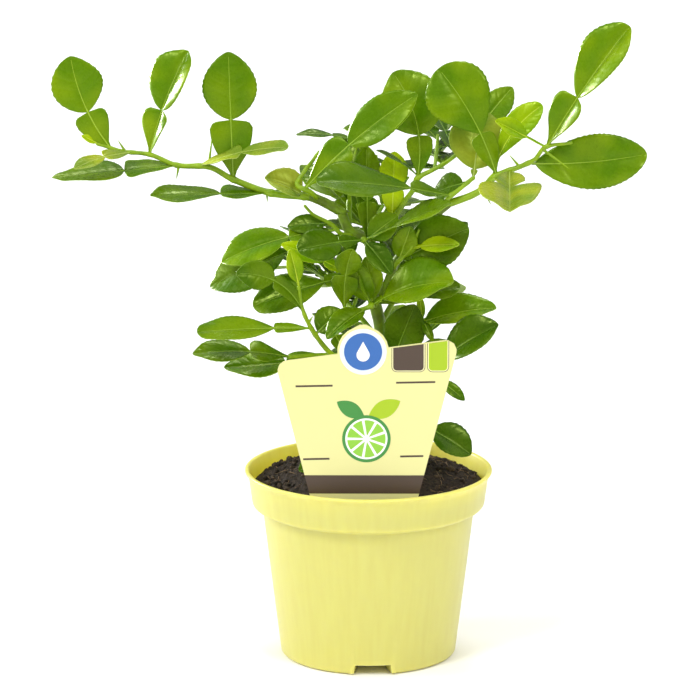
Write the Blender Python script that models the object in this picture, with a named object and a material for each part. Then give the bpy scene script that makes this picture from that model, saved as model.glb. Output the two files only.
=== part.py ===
"""Potted kaffir lime tree: a young citrus in a small moulded pot, with its plant label.

Metres, +Z up. The origin is the middle of the pot's underside, +X is to the right of the label's face and
the label faces -Y. Every length below is in millimetres, and every angle is in degrees.
"""

import math
import random

import bmesh
import bpy
from mathutils import Vector
from mathutils.bvhtree import BVHTree

MM = 0.001
GAP = 0.35  # clearance between pieces that touch on the real plant

# Pot
POT_HEIGHT = 92.0
LIP_RADIUS = 60.0
LIP_HEIGHT = 1.6
LIP_WIDTH = 2.2
BAND_TOP_RADIUS = 58.2
BAND_TOP_HEIGHT = 88.4
BAND_FOOT_RADIUS = 56.4
BAND_FOOT_HEIGHT = 74.0
BODY_TOP_RADIUS = 51.5
BODY_TOP_HEIGHT = 73.3
BASE_RADIUS = 42.6
POT_WALL = 1.4
BASE_ROUND = 1.2
BAND_ROUND = 1.2
LIP_ROUND = 0.5
POT_STEPS = 42
CHANNELS = 3
CHANNEL_TURN = -87.0  # where the first channel runs, from +X
CHANNEL_HEIGHT = 5.0
CHANNEL_INNER_RADIUS = 16.0
CHANNEL_INNER_WIDTH = 9.0
CHANNEL_FOOT_WIDTH = 19.4
CHANNEL_TOP_WIDTH = 17.4
DRAIN_RADIUS = 30.0
DRAIN_HOLE = 6.0
HOLE_SIDES = 12
CUT_PAST = 1.0  # how far a cutting shape runs past what it cuts

# Soil
SOIL_TOP = 96.0
SOIL_EDGE = 84.2
SOIL_CROWN = ((49.0, 86.6), (44.0, 87.6), (34.0, 91.2), (24.0, 94.2), (14.0, 95.7))  # radius, height
SOIL_SEAT_RADIUS = 8.0

# Label: a card whose sides lean out and whose top edge climbs to the right, on a pointed stake
LABEL_Y = -46.0
LABEL_THICKNESS = 0.8
LABEL_FOOT = 88.0
LABEL_FOOT_LEFT = -27.2
LABEL_FOOT_RIGHT = 23.2
LABEL_TOP_LEFT = (-44.2, 155.8)
LABEL_TOP_RIGHT = (43.2, 167.4)
LABEL_CORNER = 5.0
CORNER_STEPS = 4
BUMP_CENTRE = (-2.6, 160.9)
BUMP_RADIUS = 12.2
BUMP_STEPS = 12
NUB_HEIGHT = 2.3
NUB_WIDTH = 5.0
STAKE_WIDTH = 14.0
STAKE_SHOULDER = 74.0
STAKE_TIP = 60.0

# Leaves: a kaffir lime leaf is a blade on a winged stalk nearly as large as the blade
WING_SHARE = 0.42
BLADE_PEAK = 0.47  # where a blade is broadest, from its foot
BLADE_BLUNT = 0.66  # how full its ends are: less is fuller
LEAF_THICKNESS = 0.9
STALK_HALF_WIDTH = 0.6
WING_BREADTH = 0.88  # of the blade's breadth, each against its own length
WING_ROWS = (0.5, 0.82, 0.97)
BLADE_ROWS = (0.11, 0.4, 0.72, 0.93)
CLEAR_SHARE = 0.2  # the share of a leaf, from its root, that may touch its own shoot

# Growth of the leaves and twigs that are not placed one by one
TURN = 137.5  # from one leaf to the next round a shoot
LEAF_ANGLE = 58.0  # between a leaf and its shoot
TWIG_ANGLE = 50.0
TWIG_LENGTH = (14.0, 24.0)
TWIG_RADII = (0.95, 0.7)
TWIG_STATIONS = (0.4, 0.9)  # the share of a stem that bears twigs
LEAF_SIZE = (34.0, 50.0)
LEAF_BREADTH = (0.58, 0.72)
LEAF_CURL = (15, 40)
LEAF_SWAY = (-12, 12)
LEAF_FOLD = (6, 18)
LEAF_SPACING = 9.0
FIRST_LEAF = 0.3  # the share of a twig, or of a stem past its foot, that bears no seeded leaf
LOOK_SPREAD = 0.4  # how far a seeded leaf's face turns outward
LOOK_STRAY = 0.75  # how far that turn strays from leaf to leaf
RISE_TO_LIGHT = 0.25  # how far twigs, and the leaves on them, turn up
LEAF_TRIES = 14
TWIG_TRIES = 8

STEM_SIDES = 6
TWIG_SIDES = 4
THORN_SIDES = 3
STEM_STEP = 7.0
TRUNK_FLARE = 1.6
THORN_RADIUS = 0.55
ACROSS = Vector((0.31, 0.95, 0.11))  # where the first corner of every stem's section lies

# Open sky in and round the crown as seen from the front: circles in the plane of the pot's axis, as across,
# up and radius. No seeded leaf or twig shows in them.
VIEW_POINT = Vector((0, -2100, 649))
SKY = (
    (-27, 292, 28),
    (-43, 269, 12),
    (-17, 265, 6),
    (-35, 251, 6),
    (-50, 242, 6),
    (-63, 217, 9),
    (-49, 218, 7),
    (-41, 220, 5),
    (-86, 205, 18),
    (-68, 174, 7),
    (-38, 170, 5),
    (-33, 157, 5.5),
    (-22, 177, 4),
    (11, 255, 6),
    (18, 254, 4.5),
    (72, 292, 14),
    (75, 250, 6),
    (63, 217, 6),
    (52, 216, 5),
    (58, 207, 10),
    (54, 194, 13),
    (42, 196, 5.5),
    (56, 181, 5.5),
    (67, 163, 4.5),
    (91, 192, 37),
    (49, 139, 7),
    (48, 119, 7),
    (92, 124, 44),
    (-53, 115, 14),
    (-86, 114, 33),
)


def direction(slope, lean):
    """A direction from its slope as seen from the front and its lean away from the viewer."""
    a, b = math.radians(slope), math.radians(lean)
    return Vector((math.cos(a) * math.cos(b), math.sin(b), math.sin(a) * math.cos(b)))


def leaf(
    at,
    slope,
    lean,
    size,
    tilt=45,
    pan=0,
    broad=0.66,
    wing=WING_SHARE,
    winged=1.0,
    curl=25,
    sway=0,
    fold=12,
    peak=BLADE_PEAK,
    blunt=BLADE_BLUNT,
):
    """One leaf: its station on the shoot, the way its tip lies, its length, and how its face looks.

    tilt lifts the face from level to upward and pan turns it to the right. broad is the blade's breadth
    against its length, wing the stalk's share of the whole, and winged its breadth against the usual.
    curl is how far the midrib bends back, sway how far it bends sideways, and fold how far each half is
    raised.
    """
    level, turned = math.radians(tilt), math.radians(pan)
    look = (math.sin(turned) * math.cos(level), -math.cos(turned) * math.cos(level), math.sin(level))
    return {
        "at": at,
        "along": direction(slope, lean),
        "look": Vector(look),
        "size": size,
        "broad": broad,
        "wing": wing,
        "winged": winged,
        "curl": math.radians(curl),
        "sway": math.radians(sway),
        "fold": math.tan(math.radians(fold)),
        "peak": peak,
        "blunt": blunt,
    }


# The trunk and every stem below give a few points that they curve through: across, to the back, up.
TRUNK = (
    (5.5, 3.7, SOIL_TOP + GAP),
    (7, 3, 125),
    (6, 2, 160),
    (2.5, 1, 176),
    (1.5, 0, 190),
    (0, 0, 204),
    (-9, 1, 209),
    (-13, 2, 218),
)
TRUNK_RADII = (3.9, 2.4)

# Boughs: name, the limb that carries it and the station on that limb (1 is its tip), points, radii
BOUGHS = (
    ("left_bough", "trunk", 1.0, ((-20, 2, 222.3), (-27.5, 2, 225.6)), (2.5, 2.2)),
    ("right_bough", "trunk", 0.612, ((8.5, -1, 183), (12.6, -1.5, 194)), (2.3, 2.1)),
    (
        "upper_right_bough",
        "right_bough",
        1.0,
        ((20.3, -2, 205), (28, -3, 214.2), (38, -4.8, 223.6)),
        (2.1, 1.9),
    ),
    ("leader_bough", "trunk", 0.838, ((5.5, -1.5, 209), (10, -2, 213.4)), (1.9, 1.7)),
)


def mass(name, limb, at, stem, radii, leaves=(), thorns=(), space=None, twigs=0, more=0, seed=0):
    """One mass of foliage on one stem; twigs and more leaves are seeded, and stay in its space."""
    return {
        "name": name,
        "limb": limb,
        "at": at,
        "stem": stem,
        "radii": radii,
        "leaves": leaves,
        "thorns": thorns,
        "space": space,
        "twigs": twigs,
        "more": more,
        "seed": seed,
    }


LEFT_MASSES = (
    mass(
        "left_arm_foliage",
        "left_bough",
        1.0,
        (
            (-47, 3, 227.3),
            (-66, 5, 234),
            (-76, 6, 239.2),
            (-92, 7, 240),
            (-105, 8, 245),
            (-118, 8.5, 246.5),
            (-130, 9, 250),
        ),
        (1.9, 0.8),
        leaves=(
            leaf(0.03, 154, -4, 21, tilt=58, broad=0.95, wing=0.1, fold=30, peak=0.4),
            leaf(0.18, 180, -7, 58, tilt=80, winged=1.2, curl=2, peak=0.56, blunt=0.5),
            leaf(0.36, 92, 3, 61.5, tilt=0, broad=0.82, wing=0.47, curl=10, fold=4),
            leaf(0.53, 16, -20, 48, tilt=66, broad=0.52, wing=0.5, peak=0.6, blunt=0.5),
            leaf(0.63, 185, -5, 60, tilt=77, winged=1.35, curl=-5, sway=10, peak=0.38, blunt=0.8),
            leaf(0.76, 69.5, 2, 53.5, tilt=10, pan=-42, broad=0.78, fold=30, peak=0.52, blunt=0.58),
            leaf(0.84, 189, -35, 33, tilt=70, broad=0.6, wing=0.48, winged=1.2),
            leaf(0.94, 113, 3, 48, tilt=0, broad=0.92, curl=12, sway=-28, fold=5, peak=0.5),
            leaf(1.0, 150, -12, 9, broad=0.5, wing=0.1),
        ),
        thorns=((0.485, 83, 5, 17), (0.62, -100, -10, 7), (0.87, 122, 0, 7), (0.2, -85, -5, 5)),
    ),
    mass(
        "left_upper_foliage",
        "left_bough",
        0.75,
        ((-28.5, -3.5, 229.5), (-34.3, -4.5, 232.5), (-31, 3, 237.5), (-27, 13, 241), (-24, 20, 244)),
        (1.3, 0.8),
        leaves=(
            leaf(
                0.26, 41.5, -6, 72, tilt=18, pan=-28, broad=0.52, wing=0.43, winged=1.15, curl=12, sway=-12,
                fold=18,
            ),
        ),
        space=((2, 32, 258), (38, 30, 26)),
        twigs=2,
        more=4,
        seed=3,
    ),
    mass(
        "left_inner_foliage",
        "trunk",
        0.892,
        ((-13, -3, 208.5), (-18, -4, 213.5), (-27, -6, 219), (-30.5, -7, 223)),
        (1.1, 0.7),
        leaves=(
            leaf(0.36, 195.5, -1, 57.5, tilt=60, broad=0.7, wing=0.4, winged=0.9, curl=34, peak=0.5),
            leaf(0.5, 185, 7, 21, tilt=50, broad=0.62, wing=0.1),
            leaf(0.2, 202.5, 6, 71, tilt=50, broad=0.66),
        ),
    ),
    mass(
        "left_lower_foliage",
        "trunk",
        0.655,
        ((-4, -2, 186.5), (-9, -3.5, 188.5)),
        (1.2, 0.8),
        leaves=(
            leaf(0.9, 197, -4, 50, tilt=50, broad=0.6, wing=0.28, peak=0.58, blunt=0.55),
            leaf(1.0, 151, -21, 40, tilt=40, broad=0.42),
        ),
    ),
    mass(
        "young_shoot_foliage",
        "trunk",
        0.245,
        (
            (-1, -4, 136),
            (-11, -9, 145),
            (-20, -13, 154),
            (-27.5, -16, 165.3),
            (-31.5, -18, 175),
            (-33.3, -19.5, 186.3),
        ),
        (1.9, 0.7),
        leaves=(
            leaf(1.0, 102, -12, 20, tilt=0, pan=20, broad=0.5, wing=0.15),
            leaf(0.81, 145, -16, 41, tilt=20, broad=0.8, wing=0.56, winged=0.5, sway=70, curl=20),
            leaf(0.71, 180, -8, 55, tilt=52, broad=0.4, wing=0.33, curl=10, peak=0.6, blunt=0.5),
            leaf(0.66, 40, 24, 18, tilt=30, broad=0.95, wing=0.1),
        ),
        thorns=((0.75, 60, -20, 5),),
    ),
    mass(
        "lower_left_foliage",
        "trunk",
        0.375,
        ((-5, 3, 146.5), (-20.5, 3, 147.5), (-38, 1, 147)),
        (1.4, 0.9),
        leaves=(
            leaf(0.56, 186, -3, 52, tilt=64, broad=0.66, curl=-14, peak=0.42),
            leaf(1.0, 175, -13, 48, tilt=63, broad=0.6, winged=1.4),
            leaf(0.4, 118, 8, 26, tilt=35, broad=0.8),
        ),
    ),
    mass(
        "foot_left_foliage",
        "trunk",
        0.03,
        ((0, -5, 101), (-8, -12, 103)),
        (1.1, 0.8),
        leaves=(
            leaf(1.0, 192, -30, 30, tilt=50),
            leaf(0.6, 125, -15, 34, tilt=45),
        ),
    ),
)

CENTRE_MASSES = (
    mass(
        "centre_foliage",
        "trunk",
        0.817,
        ((-0.5, -6, 205.5), (-2.5, -11, 207.3)),
        (1.3, 1.0),
        leaves=(
            leaf(0.55, 91, 17, 46, tilt=12, broad=0.55, fold=25, curl=10),
            leaf(1.0, 180.5, -35, 38, tilt=32, broad=0.76, wing=0.4, winged=0.65, blunt=0.5),
            leaf(0.95, 27, -19, 49, tilt=66, broad=0.45, wing=0.3, winged=0.45, curl=6, fold=20, peak=0.6),
            leaf(1.0, 312, -25, 22, tilt=45, broad=0.6, wing=0.12, fold=25),
            leaf(0.75, 40, -8, 20, tilt=30, broad=0.8, wing=0.12),
        ),
    ),
    mass(
        "front_foliage",
        "trunk",
        0.591,
        ((2, -5.5, 174.5), (0.5, -9.5, 174.3), (-5, -11, 173), (-11.6, -9.5, 173.5)),
        (1.4, 0.9),
        leaves=(
            leaf(0.4, 22, -24, 46, tilt=52, broad=0.72, wing=0.16, curl=30, sway=-14, fold=26, peak=0.56),
            leaf(0.3, 13, -4, 43, tilt=45, broad=0.5, peak=0.62, blunt=0.5),
            leaf(0.45, 211, -33, 29, tilt=70, broad=0.55, wing=0.15, fold=28),
            leaf(0.4, 112, -8, 26, tilt=15, pan=-20, broad=0.6, wing=0.12, fold=20),
            leaf(0.35, 98, -2, 24, tilt=15, pan=25, broad=0.6, wing=0.12, fold=20),
            leaf(1.0, 83, -18, 33, tilt=2, broad=0.85, wing=0.53, sway=-20, curl=-10, fold=8),
        ),
    ),
    mass(
        "centre_upper_foliage",
        "trunk",
        0.924,
        ((-9.5, 8, 219), (-8.5, 13, 233), (-5, 20, 252)),
        (1.4, 0.8),
        leaves=(
            leaf(0.95, 173, -8, 30, tilt=78, broad=0.5),
            leaf(0.3, 98, 26, 34, tilt=5, broad=0.7, wing=0.25, fold=20),
        ),
        space=((2, 36, 238), (36, 30, 28)),
        twigs=2,
        more=4,
        seed=11,
    ),
    mass(
        "top_foliage",
        "leader_bough",
        1.0,
        (
            (18, -3, 225.5),
            (21.4, -3, 230.5),
            (23, -3, 235.5),
            (30, -0.5, 239),
            (38, 5, 242.5),
            (44.7, 12, 246.6),
        ),
        (1.5, 0.8),
        leaves=(
            leaf(0.03, 88, 8, 33, tilt=0, broad=0.8, wing=0.47, fold=6),
            leaf(0.47, 103.5, 14, 52, tilt=5, broad=0.98, wing=0.38, winged=0.75, sway=50, fold=16),
            leaf(0.49, 146, -10, 25, tilt=80, broad=0.5),
            leaf(0.97, 48, 25, 42, tilt=20, broad=0.58),
        ),
        space=((40, 36, 250), (36, 30, 30)),
        twigs=2,
        more=4,
        seed=5,
    ),
)

RIGHT_MASSES = (
    mass(
        "right_centre_foliage",
        "upper_right_bough",
        0.9,
        ((37.5, -9, 227), (42, -8.5, 230.5), (49.8, -6, 236.5)),
        (1.3, 0.9),
        leaves=(
            leaf(
                0.42, 170, -18, 68, tilt=62, broad=0.54, wing=0.32, sway=-14, fold=18, peak=0.62, blunt=0.5,
            ),
            leaf(1.0, 82, 30, 35, tilt=20, broad=0.92, wing=0.12),
            leaf(0.85, 204, 28, 20, tilt=45, broad=0.9, wing=0.12),
        ),
    ),
    mass(
        "right_arm_foliage",
        "upper_right_bough",
        1.0,
        (
            (49, -6.5, 228.1),
            (54.4, -7, 231.5),
            (58.4, -7.5, 236.3),
            (63, -8, 239),
            (73.4, -9.5, 243.3),
            (79, -10.5, 246.5),
            (83.6, -12, 252.5),
            (96, -13, 254.8),
        ),
        (1.9, 0.7),
        leaves=(
            leaf(
                0.4, 118.5, 2, 58.5, tilt=15, broad=0.88, wing=0.38, winged=0.7, curl=40, sway=22,
                peak=0.62, blunt=0.55,
            ),
            leaf(
                0.5, 262, -80, 54, tilt=83, broad=0.87, wing=0.36, curl=-12, fold=14, peak=0.46, blunt=0.36,
            ),
            leaf(0.64, 4, 3, 57, tilt=10, broad=0.5, wing=0.06, sway=14, curl=-10, peak=0.55, blunt=0.58),
            leaf(
                0.83, 57, -4, 70, tilt=5, pan=-46, broad=0.58, wing=0.4, winged=1.25, fold=30, curl=15,
                peak=0.58, blunt=0.5,
            ),
            leaf(0.815, 150, -12, 28.5, tilt=40, broad=0.52, wing=0.38, winged=0.15, fold=35, curl=5),
            leaf(
                0.37, 56, 4, 42, tilt=10, pan=-25, broad=0.44, wing=0.24, winged=0.15, sway=-42, peak=0.62,
                blunt=0.5,
            ),
        ),
        thorns=((0.79, -35, -10, 17), (0.575, 130, 0, 8), (0.26, -60, -10, 9)),
    ),
    mass(
        "right_inner_foliage",
        "right_bough",
        0.8,
        ((14, -6, 195.5), (20, -9, 202.5), (24, -10, 212)),
        (1.2, 0.6),
        leaves=(
            leaf(0.35, 26, -4, 36.5, tilt=25, broad=0.85, wing=0.16),
            leaf(0.3, 72, -10, 19, tilt=15, broad=0.75, wing=0.12),
            leaf(0.65, 9, -22, 25, tilt=45, broad=0.45, wing=0.2),
        ),
    ),
    mass(
        "lower_right_foliage",
        "trunk",
        0.353,
        ((13, -3, 148), (21, -6, 158), (26, -7, 167)),
        (1.3, 0.8),
        leaves=(
            leaf(0.97, 13, -8, 37, tilt=58, broad=0.55, wing=0.05, fold=24),
            leaf(0.25, 70, -12, 31, tilt=20, broad=0.76, wing=0.12),
            leaf(1.0, 98, 0, 13, tilt=10, broad=0.35, wing=0.1),
            leaf(1.0, -62, -30, 12, tilt=20, broad=0.4, wing=0.1, curl=80),
        ),
    ),
    mass(
        "foot_right_foliage",
        "trunk",
        0.095,
        ((13, -5, 117), (19, -11, 125), (24, -15, 136), (26, -16, 145)),
        (1.2, 0.8),
        leaves=(
            leaf(0.42, 331, -10, 38.5, tilt=46, broad=0.78, fold=24),
            leaf(0.93, 38, -16, 48, tilt=50, broad=0.64, wing=0.3, fold=26, peak=0.55),
            leaf(1.0, 325, -12, 25, tilt=40, broad=0.45, curl=40),
        ),
    ),
)

BACK_MASSES = (
    mass(
        "back_high_foliage",
        "trunk",
        0.741,
        ((3, 9, 195), (0, 20, 204), (-4, 32, 212)),
        (1.5, 0.8),
        space=((-6, 46, 208), (50, 42, 32)),
        twigs=3,
        more=7,
        seed=21,
    ),
    mass(
        "back_right_foliage",
        "trunk",
        0.515,
        ((12, 12, 172), (23, 26, 182), (32, 38, 192)),
        (1.5, 0.8),
        space=((30, 46, 184), (44, 42, 34)),
        twigs=3,
        more=7,
        seed=32,
    ),
    mass(
        "back_left_foliage",
        "trunk",
        0.44,
        ((-4, 13, 164), (-14, 28, 172), (-20, 42, 180)),
        (1.5, 0.8),
        space=((-24, 46, 174), (48, 44, 34)),
        twigs=3,
        more=7,
        seed=34,
    ),
    mass(
        "back_low_foliage",
        "trunk",
        0.192,
        ((9, 12, 128), (10, 27, 136), (10, 42, 146)),
        (1.4, 0.8),
        space=((8, 44, 138), (48, 42, 34)),
        twigs=3,
        more=7,
        seed=24,
    ),
)

MASSES = (*LEFT_MASSES, *CENTRE_MASSES, *RIGHT_MASSES, *BACK_MASSES)


def clear_scene():
    for item in list(bpy.data.objects):
        bpy.data.objects.remove(item, do_unlink=True)


def plain_material(name, colour, roughness):
    material = bpy.data.materials.new(name)
    material.use_nodes = True
    shader = material.node_tree.nodes["Principled BSDF"]
    shader.inputs["Base Color"].default_value = (*colour, 1.0)
    shader.inputs["Roughness"].default_value = roughness
    shader.inputs["Metallic"].default_value = 0.0
    return material


def add_object(name, vertices, faces, material=None):
    """A mesh object from points in millimetres."""
    mesh = bpy.data.meshes.new(name)
    mesh.from_pydata([tuple(Vector(v) * MM) for v in vertices], [], faces)
    if material:
        mesh.materials.append(material)
    made = bpy.data.objects.new(name, mesh)
    bpy.context.scene.collection.objects.link(made)
    return made


def as_cutter(item):
    item.hide_render = True
    item.display_type = "WIRE"
    return item


def add_boolean(target, other, operation):
    step = target.modifiers.new(operation.title() + " " + other.name, "BOOLEAN")
    step.object = other
    step.operation = operation
    step.solver = "EXACT"


def prism(foot, top, low, high):
    """The points and faces of an upright prism; foot and top run anticlockwise, point for point."""
    count = len(foot)
    vertices = [(x, y, low) for x, y in foot] + [(x, y, high) for x, y in top]
    sides = [(i, (i + 1) % count, count + (i + 1) % count, count + i) for i in range(count)]
    return vertices, [*sides, tuple(reversed(range(count))), tuple(range(count, 2 * count))]


class Path:
    """A smooth curve through a few points, read by its share of length."""

    STEPS = 12

    def __init__(self, points, radii):
        self.points = self.smooth([Vector(p) for p in points])
        self.radii = radii
        self.lengths = [0.0]
        for a, b in zip(self.points, self.points[1:]):
            self.lengths.append(self.lengths[-1] + (b - a).length)
        self.length = self.lengths[-1]

    def smooth(self, points):
        """Centripetal Catmull-Rom through the points, with its ends carried on straight."""
        run = [2 * points[0] - points[1], *points, 2 * points[-1] - points[-2]]
        out = []
        for p0, p1, p2, p3 in zip(run, run[1:], run[2:], run[3:]):
            t1 = (p1 - p0).length ** 0.5
            t2 = t1 + (p2 - p1).length ** 0.5
            t3 = t2 + (p3 - p2).length ** 0.5
            for i in range(self.STEPS):
                t = t1 + (t2 - t1) * i / self.STEPS
                a1 = p0.lerp(p1, t / t1)
                a2 = p1.lerp(p2, (t - t1) / (t2 - t1))
                a3 = p2.lerp(p3, (t - t2) / (t3 - t2))
                b1 = a1.lerp(a2, t / t2)
                b2 = a2.lerp(a3, (t - t1) / (t3 - t1))
                out.append(b1.lerp(b2, (t - t1) / (t2 - t1)))
        return [*out, points[-1]]

    def radius(self, share):
        return self.radii[0] + (self.radii[1] - self.radii[0]) * share

    def at(self, share):
        """The point, direction and radius at a share of the length."""
        want = min(max(share, 0.0), 1.0) * self.length
        i = 0
        while i < len(self.lengths) - 2 and self.lengths[i + 1] < want:
            i += 1
        span = self.lengths[i + 1] - self.lengths[i]
        point = self.points[i].lerp(self.points[i + 1], (want - self.lengths[i]) / span)
        return point, (self.points[i + 1] - self.points[i]).normalized(), self.radius(share)


def ring(centre, ahead, radius, sides):
    """Points round a stem, with the first one on the same side all along."""
    side = (ACROSS - ahead * ACROSS.dot(ahead)).normalized()
    over = ahead.cross(side)
    turns = [math.tau * k / sides for k in range(sides)]
    return [centre + radius * (side * math.cos(a) + over * math.sin(a)) for a in turns]


def tube(path, start=0.0, sides=STEM_SIDES, flare=0.0, foot=None):
    """A closed tapering stem along the path, from a share of its length to its end."""
    count = max(2, round(path.length * (1.0 - start) / STEM_STEP))
    vertices = []
    for k in range(count + 1):
        share = start + (1.0 - start) * k / count
        centre, ahead, radius = path.at(share)
        if k == 0 and foot:
            ahead = foot
        vertices += ring(centre, ahead, radius + flare * math.exp(-share * path.length / STEM_STEP), sides)
    faces = []
    for k in range(count):
        for i in range(sides):
            a, b = k * sides + i, k * sides + (i + 1) % sides
            faces.append((a, b, b + sides, a + sides))
    top = count * sides
    faces += [tuple(reversed(range(sides))), tuple(range(top, top + sides))]
    return vertices, faces


def tree_of(shape):
    return BVHTree.FromPolygons([tuple(v) for v in shape[0]], shape[1])


def outside(tree, place):
    """How far a place lies outside a solid's skin, less than 0 inside it."""
    nearest, normal, _, distance = tree.find_nearest(place)
    return distance if (place - nearest).dot(normal) > 0 else -distance


def clear_start(path, limb):
    """The share of a side shoot's path at which its flat end is just clear of the limb's skin."""
    skin = tree_of(limb.solid())
    share = 0.0
    while share < 0.9:
        centre, ahead, radius = path.at(share)
        if min(outside(skin, p) for p in (centre, *ring(centre, ahead, radius, STEM_SIDES))) >= GAP:
            return share
        share += 0.1 / path.length
    raise ValueError("a shoot never leaves its limb")


class Shoot:
    """A stem on its limb: its path, the share where it starts clear of the limb, and how its foot faces."""

    def __init__(self, path, start, foot, flare=0.0):
        self.path = path
        self.start = start
        self.foot = foot
        self.flare = flare

    def solid(self):
        return tube(self.path, self.start, flare=self.flare, foot=self.foot)


def branch(limb, at, points, radii):
    place, ahead, _ = limb.path.at(at)
    if at >= 1.0:
        return Shoot(Path([place + ahead * GAP, *points], radii), 0.0, ahead)
    path = Path([place, *points], radii)
    start = clear_start(path, limb)
    return Shoot(path, start, path.at(start)[1])


def blade_width(shape, t):
    """Half width of a blade from its foot (0) to its tip (1), against its widest."""
    if not 0.0 < t < 1.0:
        return 0.0
    return math.sin(math.pi * t ** (math.log(0.5) / math.log(shape["peak"]))) ** shape["blunt"]


def wing_width(u):
    """Half width of the stalk's wing from the stem (0) to the joint (1), against its widest."""
    if u < 0.8:
        return math.sin(math.pi / 2 * u / 0.8) ** 1.3
    return (1.0 - ((u - 0.8) / 0.2) ** 3) ** (1 / 3)


def bow(bend, s):
    """A bowed line over a chord of length 1: how far along it, how far off it, and the angle there."""
    if abs(bend) < 1e-4:
        return s, 0.0, 0.0
    chord = 2.0 * math.sin(bend / 2.0)
    angle = bend * (0.5 - s)
    return (
        (math.sin(bend / 2.0) - math.sin(angle)) / chord,
        (math.cos(angle) - math.cos(bend / 2.0)) / chord,
        angle,
    )


def leaf_frame(shape, root, s):
    """The midrib's place at a share of the leaf, with its side and face directions there."""
    along = shape["along"]
    side = along.cross(shape["look"]).normalized()
    face = side.cross(along)
    forward, rise, pitch = bow(shape["curl"], s)
    _, off, yaw = bow(shape["sway"], s)
    centre = root + shape["size"] * (along * forward + face * rise + side * off)
    heading = along * math.cos(pitch) + face * math.sin(pitch)
    normal = face * math.cos(pitch) - along * math.sin(pitch)
    return centre, side * math.cos(yaw) - heading * math.sin(yaw), normal


def leaf_rows(shape):
    """Stations along a leaf as (share of its length, half width)."""
    size, wing = shape["size"], shape["wing"]
    wing_half = 0.5 * shape["broad"] * shape["winged"] * WING_BREADTH * size * wing
    blade_half = 0.5 * shape["broad"] * size * (1.0 - wing)
    rows = [(0.0, STALK_HALF_WIDTH)]
    rows += [(u * wing, max(STALK_HALF_WIDTH, wing_half * wing_width(u))) for u in WING_ROWS]
    rows += [(wing, STALK_HALF_WIDTH)]
    rows += [(wing + t * (1.0 - wing), blade_half * blade_width(shape, t)) for t in BLADE_ROWS]
    return rows


def leaf_mesh(shape, root, grow=0.0, start=0.0):
    """A thin closed leaf with a lens section: a left edge, a right edge, and a midrib above and below."""
    vertices = []
    for s, half in leaf_rows(shape):
        if s < start:
            continue
        centre, side, normal = leaf_frame(shape, root, s)
        lift = normal * (half * shape["fold"])
        thick = normal * (LEAF_THICKNESS / 2.0 + grow)
        reach = side * (half + grow)
        vertices += [centre - reach + lift, centre + thick, centre + reach + lift, centre - thick]
    vertices.append(root + shape["along"] * (shape["size"] + grow))
    last = len(vertices) - 1
    faces = [(3, 2, 1, 0)]
    for a in range(0, last - 4, 4):
        for i, j in ((0, 1), (1, 2), (2, 3), (3, 0)):
            faces.append((a + i, a + j, a + 4 + j, a + 4 + i))
    faces += [(last - 4 + i, last - 4 + (i + 1) % 4, last) for i in range(4)]
    return vertices, faces


def thorn_mesh(root, along, length):
    """A slim spine that ends in a point."""
    base = ring(root, along, THORN_RADIUS, THORN_SIDES)
    sides = [(i, (i + 1) % THORN_SIDES, THORN_SIDES) for i in range(THORN_SIDES)]
    return [*base, root + along * length], [tuple(reversed(range(THORN_SIDES))), *sides]


class Crowd:
    """What is already in place, to keep seeded twigs and leaves clear of it."""

    def __init__(self):
        self.items = []

    def add(self, shape):
        low = [min(v[i] for v in shape[0]) for i in range(3)]
        high = [max(v[i] for v in shape[0]) for i in range(3)]
        self.items.append((low, high, tree_of(shape)))

    def touches(self, shape):
        low = [min(v[i] for v in shape[0]) for i in range(3)]
        high = [max(v[i] for v in shape[0]) for i in range(3)]
        tree = tree_of(shape)
        for other_low, other_high, other in self.items:
            apart = any(low[i] > other_high[i] or high[i] < other_low[i] for i in range(3))
            if not apart and tree.overlap(other):
                return True
        return False


def inside(space, shape):
    """Whether every point of a shape lies in an ellipsoid given by its centre and its three radii."""
    centre, radii = space
    return all(sum(((v[i] - centre[i]) / radii[i]) ** 2 for i in range(3)) <= 1.0 for v in shape[0])


def in_the_sky(shape):
    """Whether a shape, seen from the front, shows where the sky does."""
    vertices, faces = shape
    places = [sum((vertices[i] for i in face), Vector()) / len(face) for face in faces]
    for place in (*vertices, *places):
        across = VIEW_POINT + (place - VIEW_POINT) * (VIEW_POINT.y / (VIEW_POINT.y - place.y))
        if any(math.hypot(across.x - x, across.z - z) < radius for x, z, radius in SKY):
            return True
    return False


def room_for(shape, space, crowd):
    return inside(space, shape) and not in_the_sky(shape) and not crowd.touches(shape)


def sprout(path, share, turn, angle):
    """The root and direction of what grows from a shoot at a share of its length, turned round it."""
    root, ahead, _ = path.at(share)
    side = (ACROSS - ahead * ACROSS.dot(ahead)).normalized()
    over = ahead.cross(side)
    out = side * math.cos(math.radians(turn)) + over * math.sin(math.radians(turn))
    along = ahead * math.cos(math.radians(angle)) + out * math.sin(math.radians(angle))
    return root, (along + Vector((0, 0, RISE_TO_LIGHT))).normalized()


def seeded_leaf(rng, along, share):
    """A leaf of the usual shape that holds its face to the light and a little outward."""
    turned = [LOOK_SPREAD * (c + rng.uniform(-LOOK_STRAY, LOOK_STRAY)) for c in along.xy]
    return {
        "at": share,
        "along": along,
        "look": Vector((*turned, 1.0)).normalized(),
        "size": rng.uniform(*LEAF_SIZE),
        "broad": rng.uniform(*LEAF_BREADTH),
        "wing": WING_SHARE,
        "winged": 1.0,
        "curl": math.radians(rng.uniform(*LEAF_CURL)),
        "sway": math.radians(rng.uniform(*LEAF_SWAY)),
        "fold": math.tan(math.radians(rng.uniform(*LEAF_FOLD))),
        "peak": BLADE_PEAK,
        "blunt": BLADE_BLUNT,
    }


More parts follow.
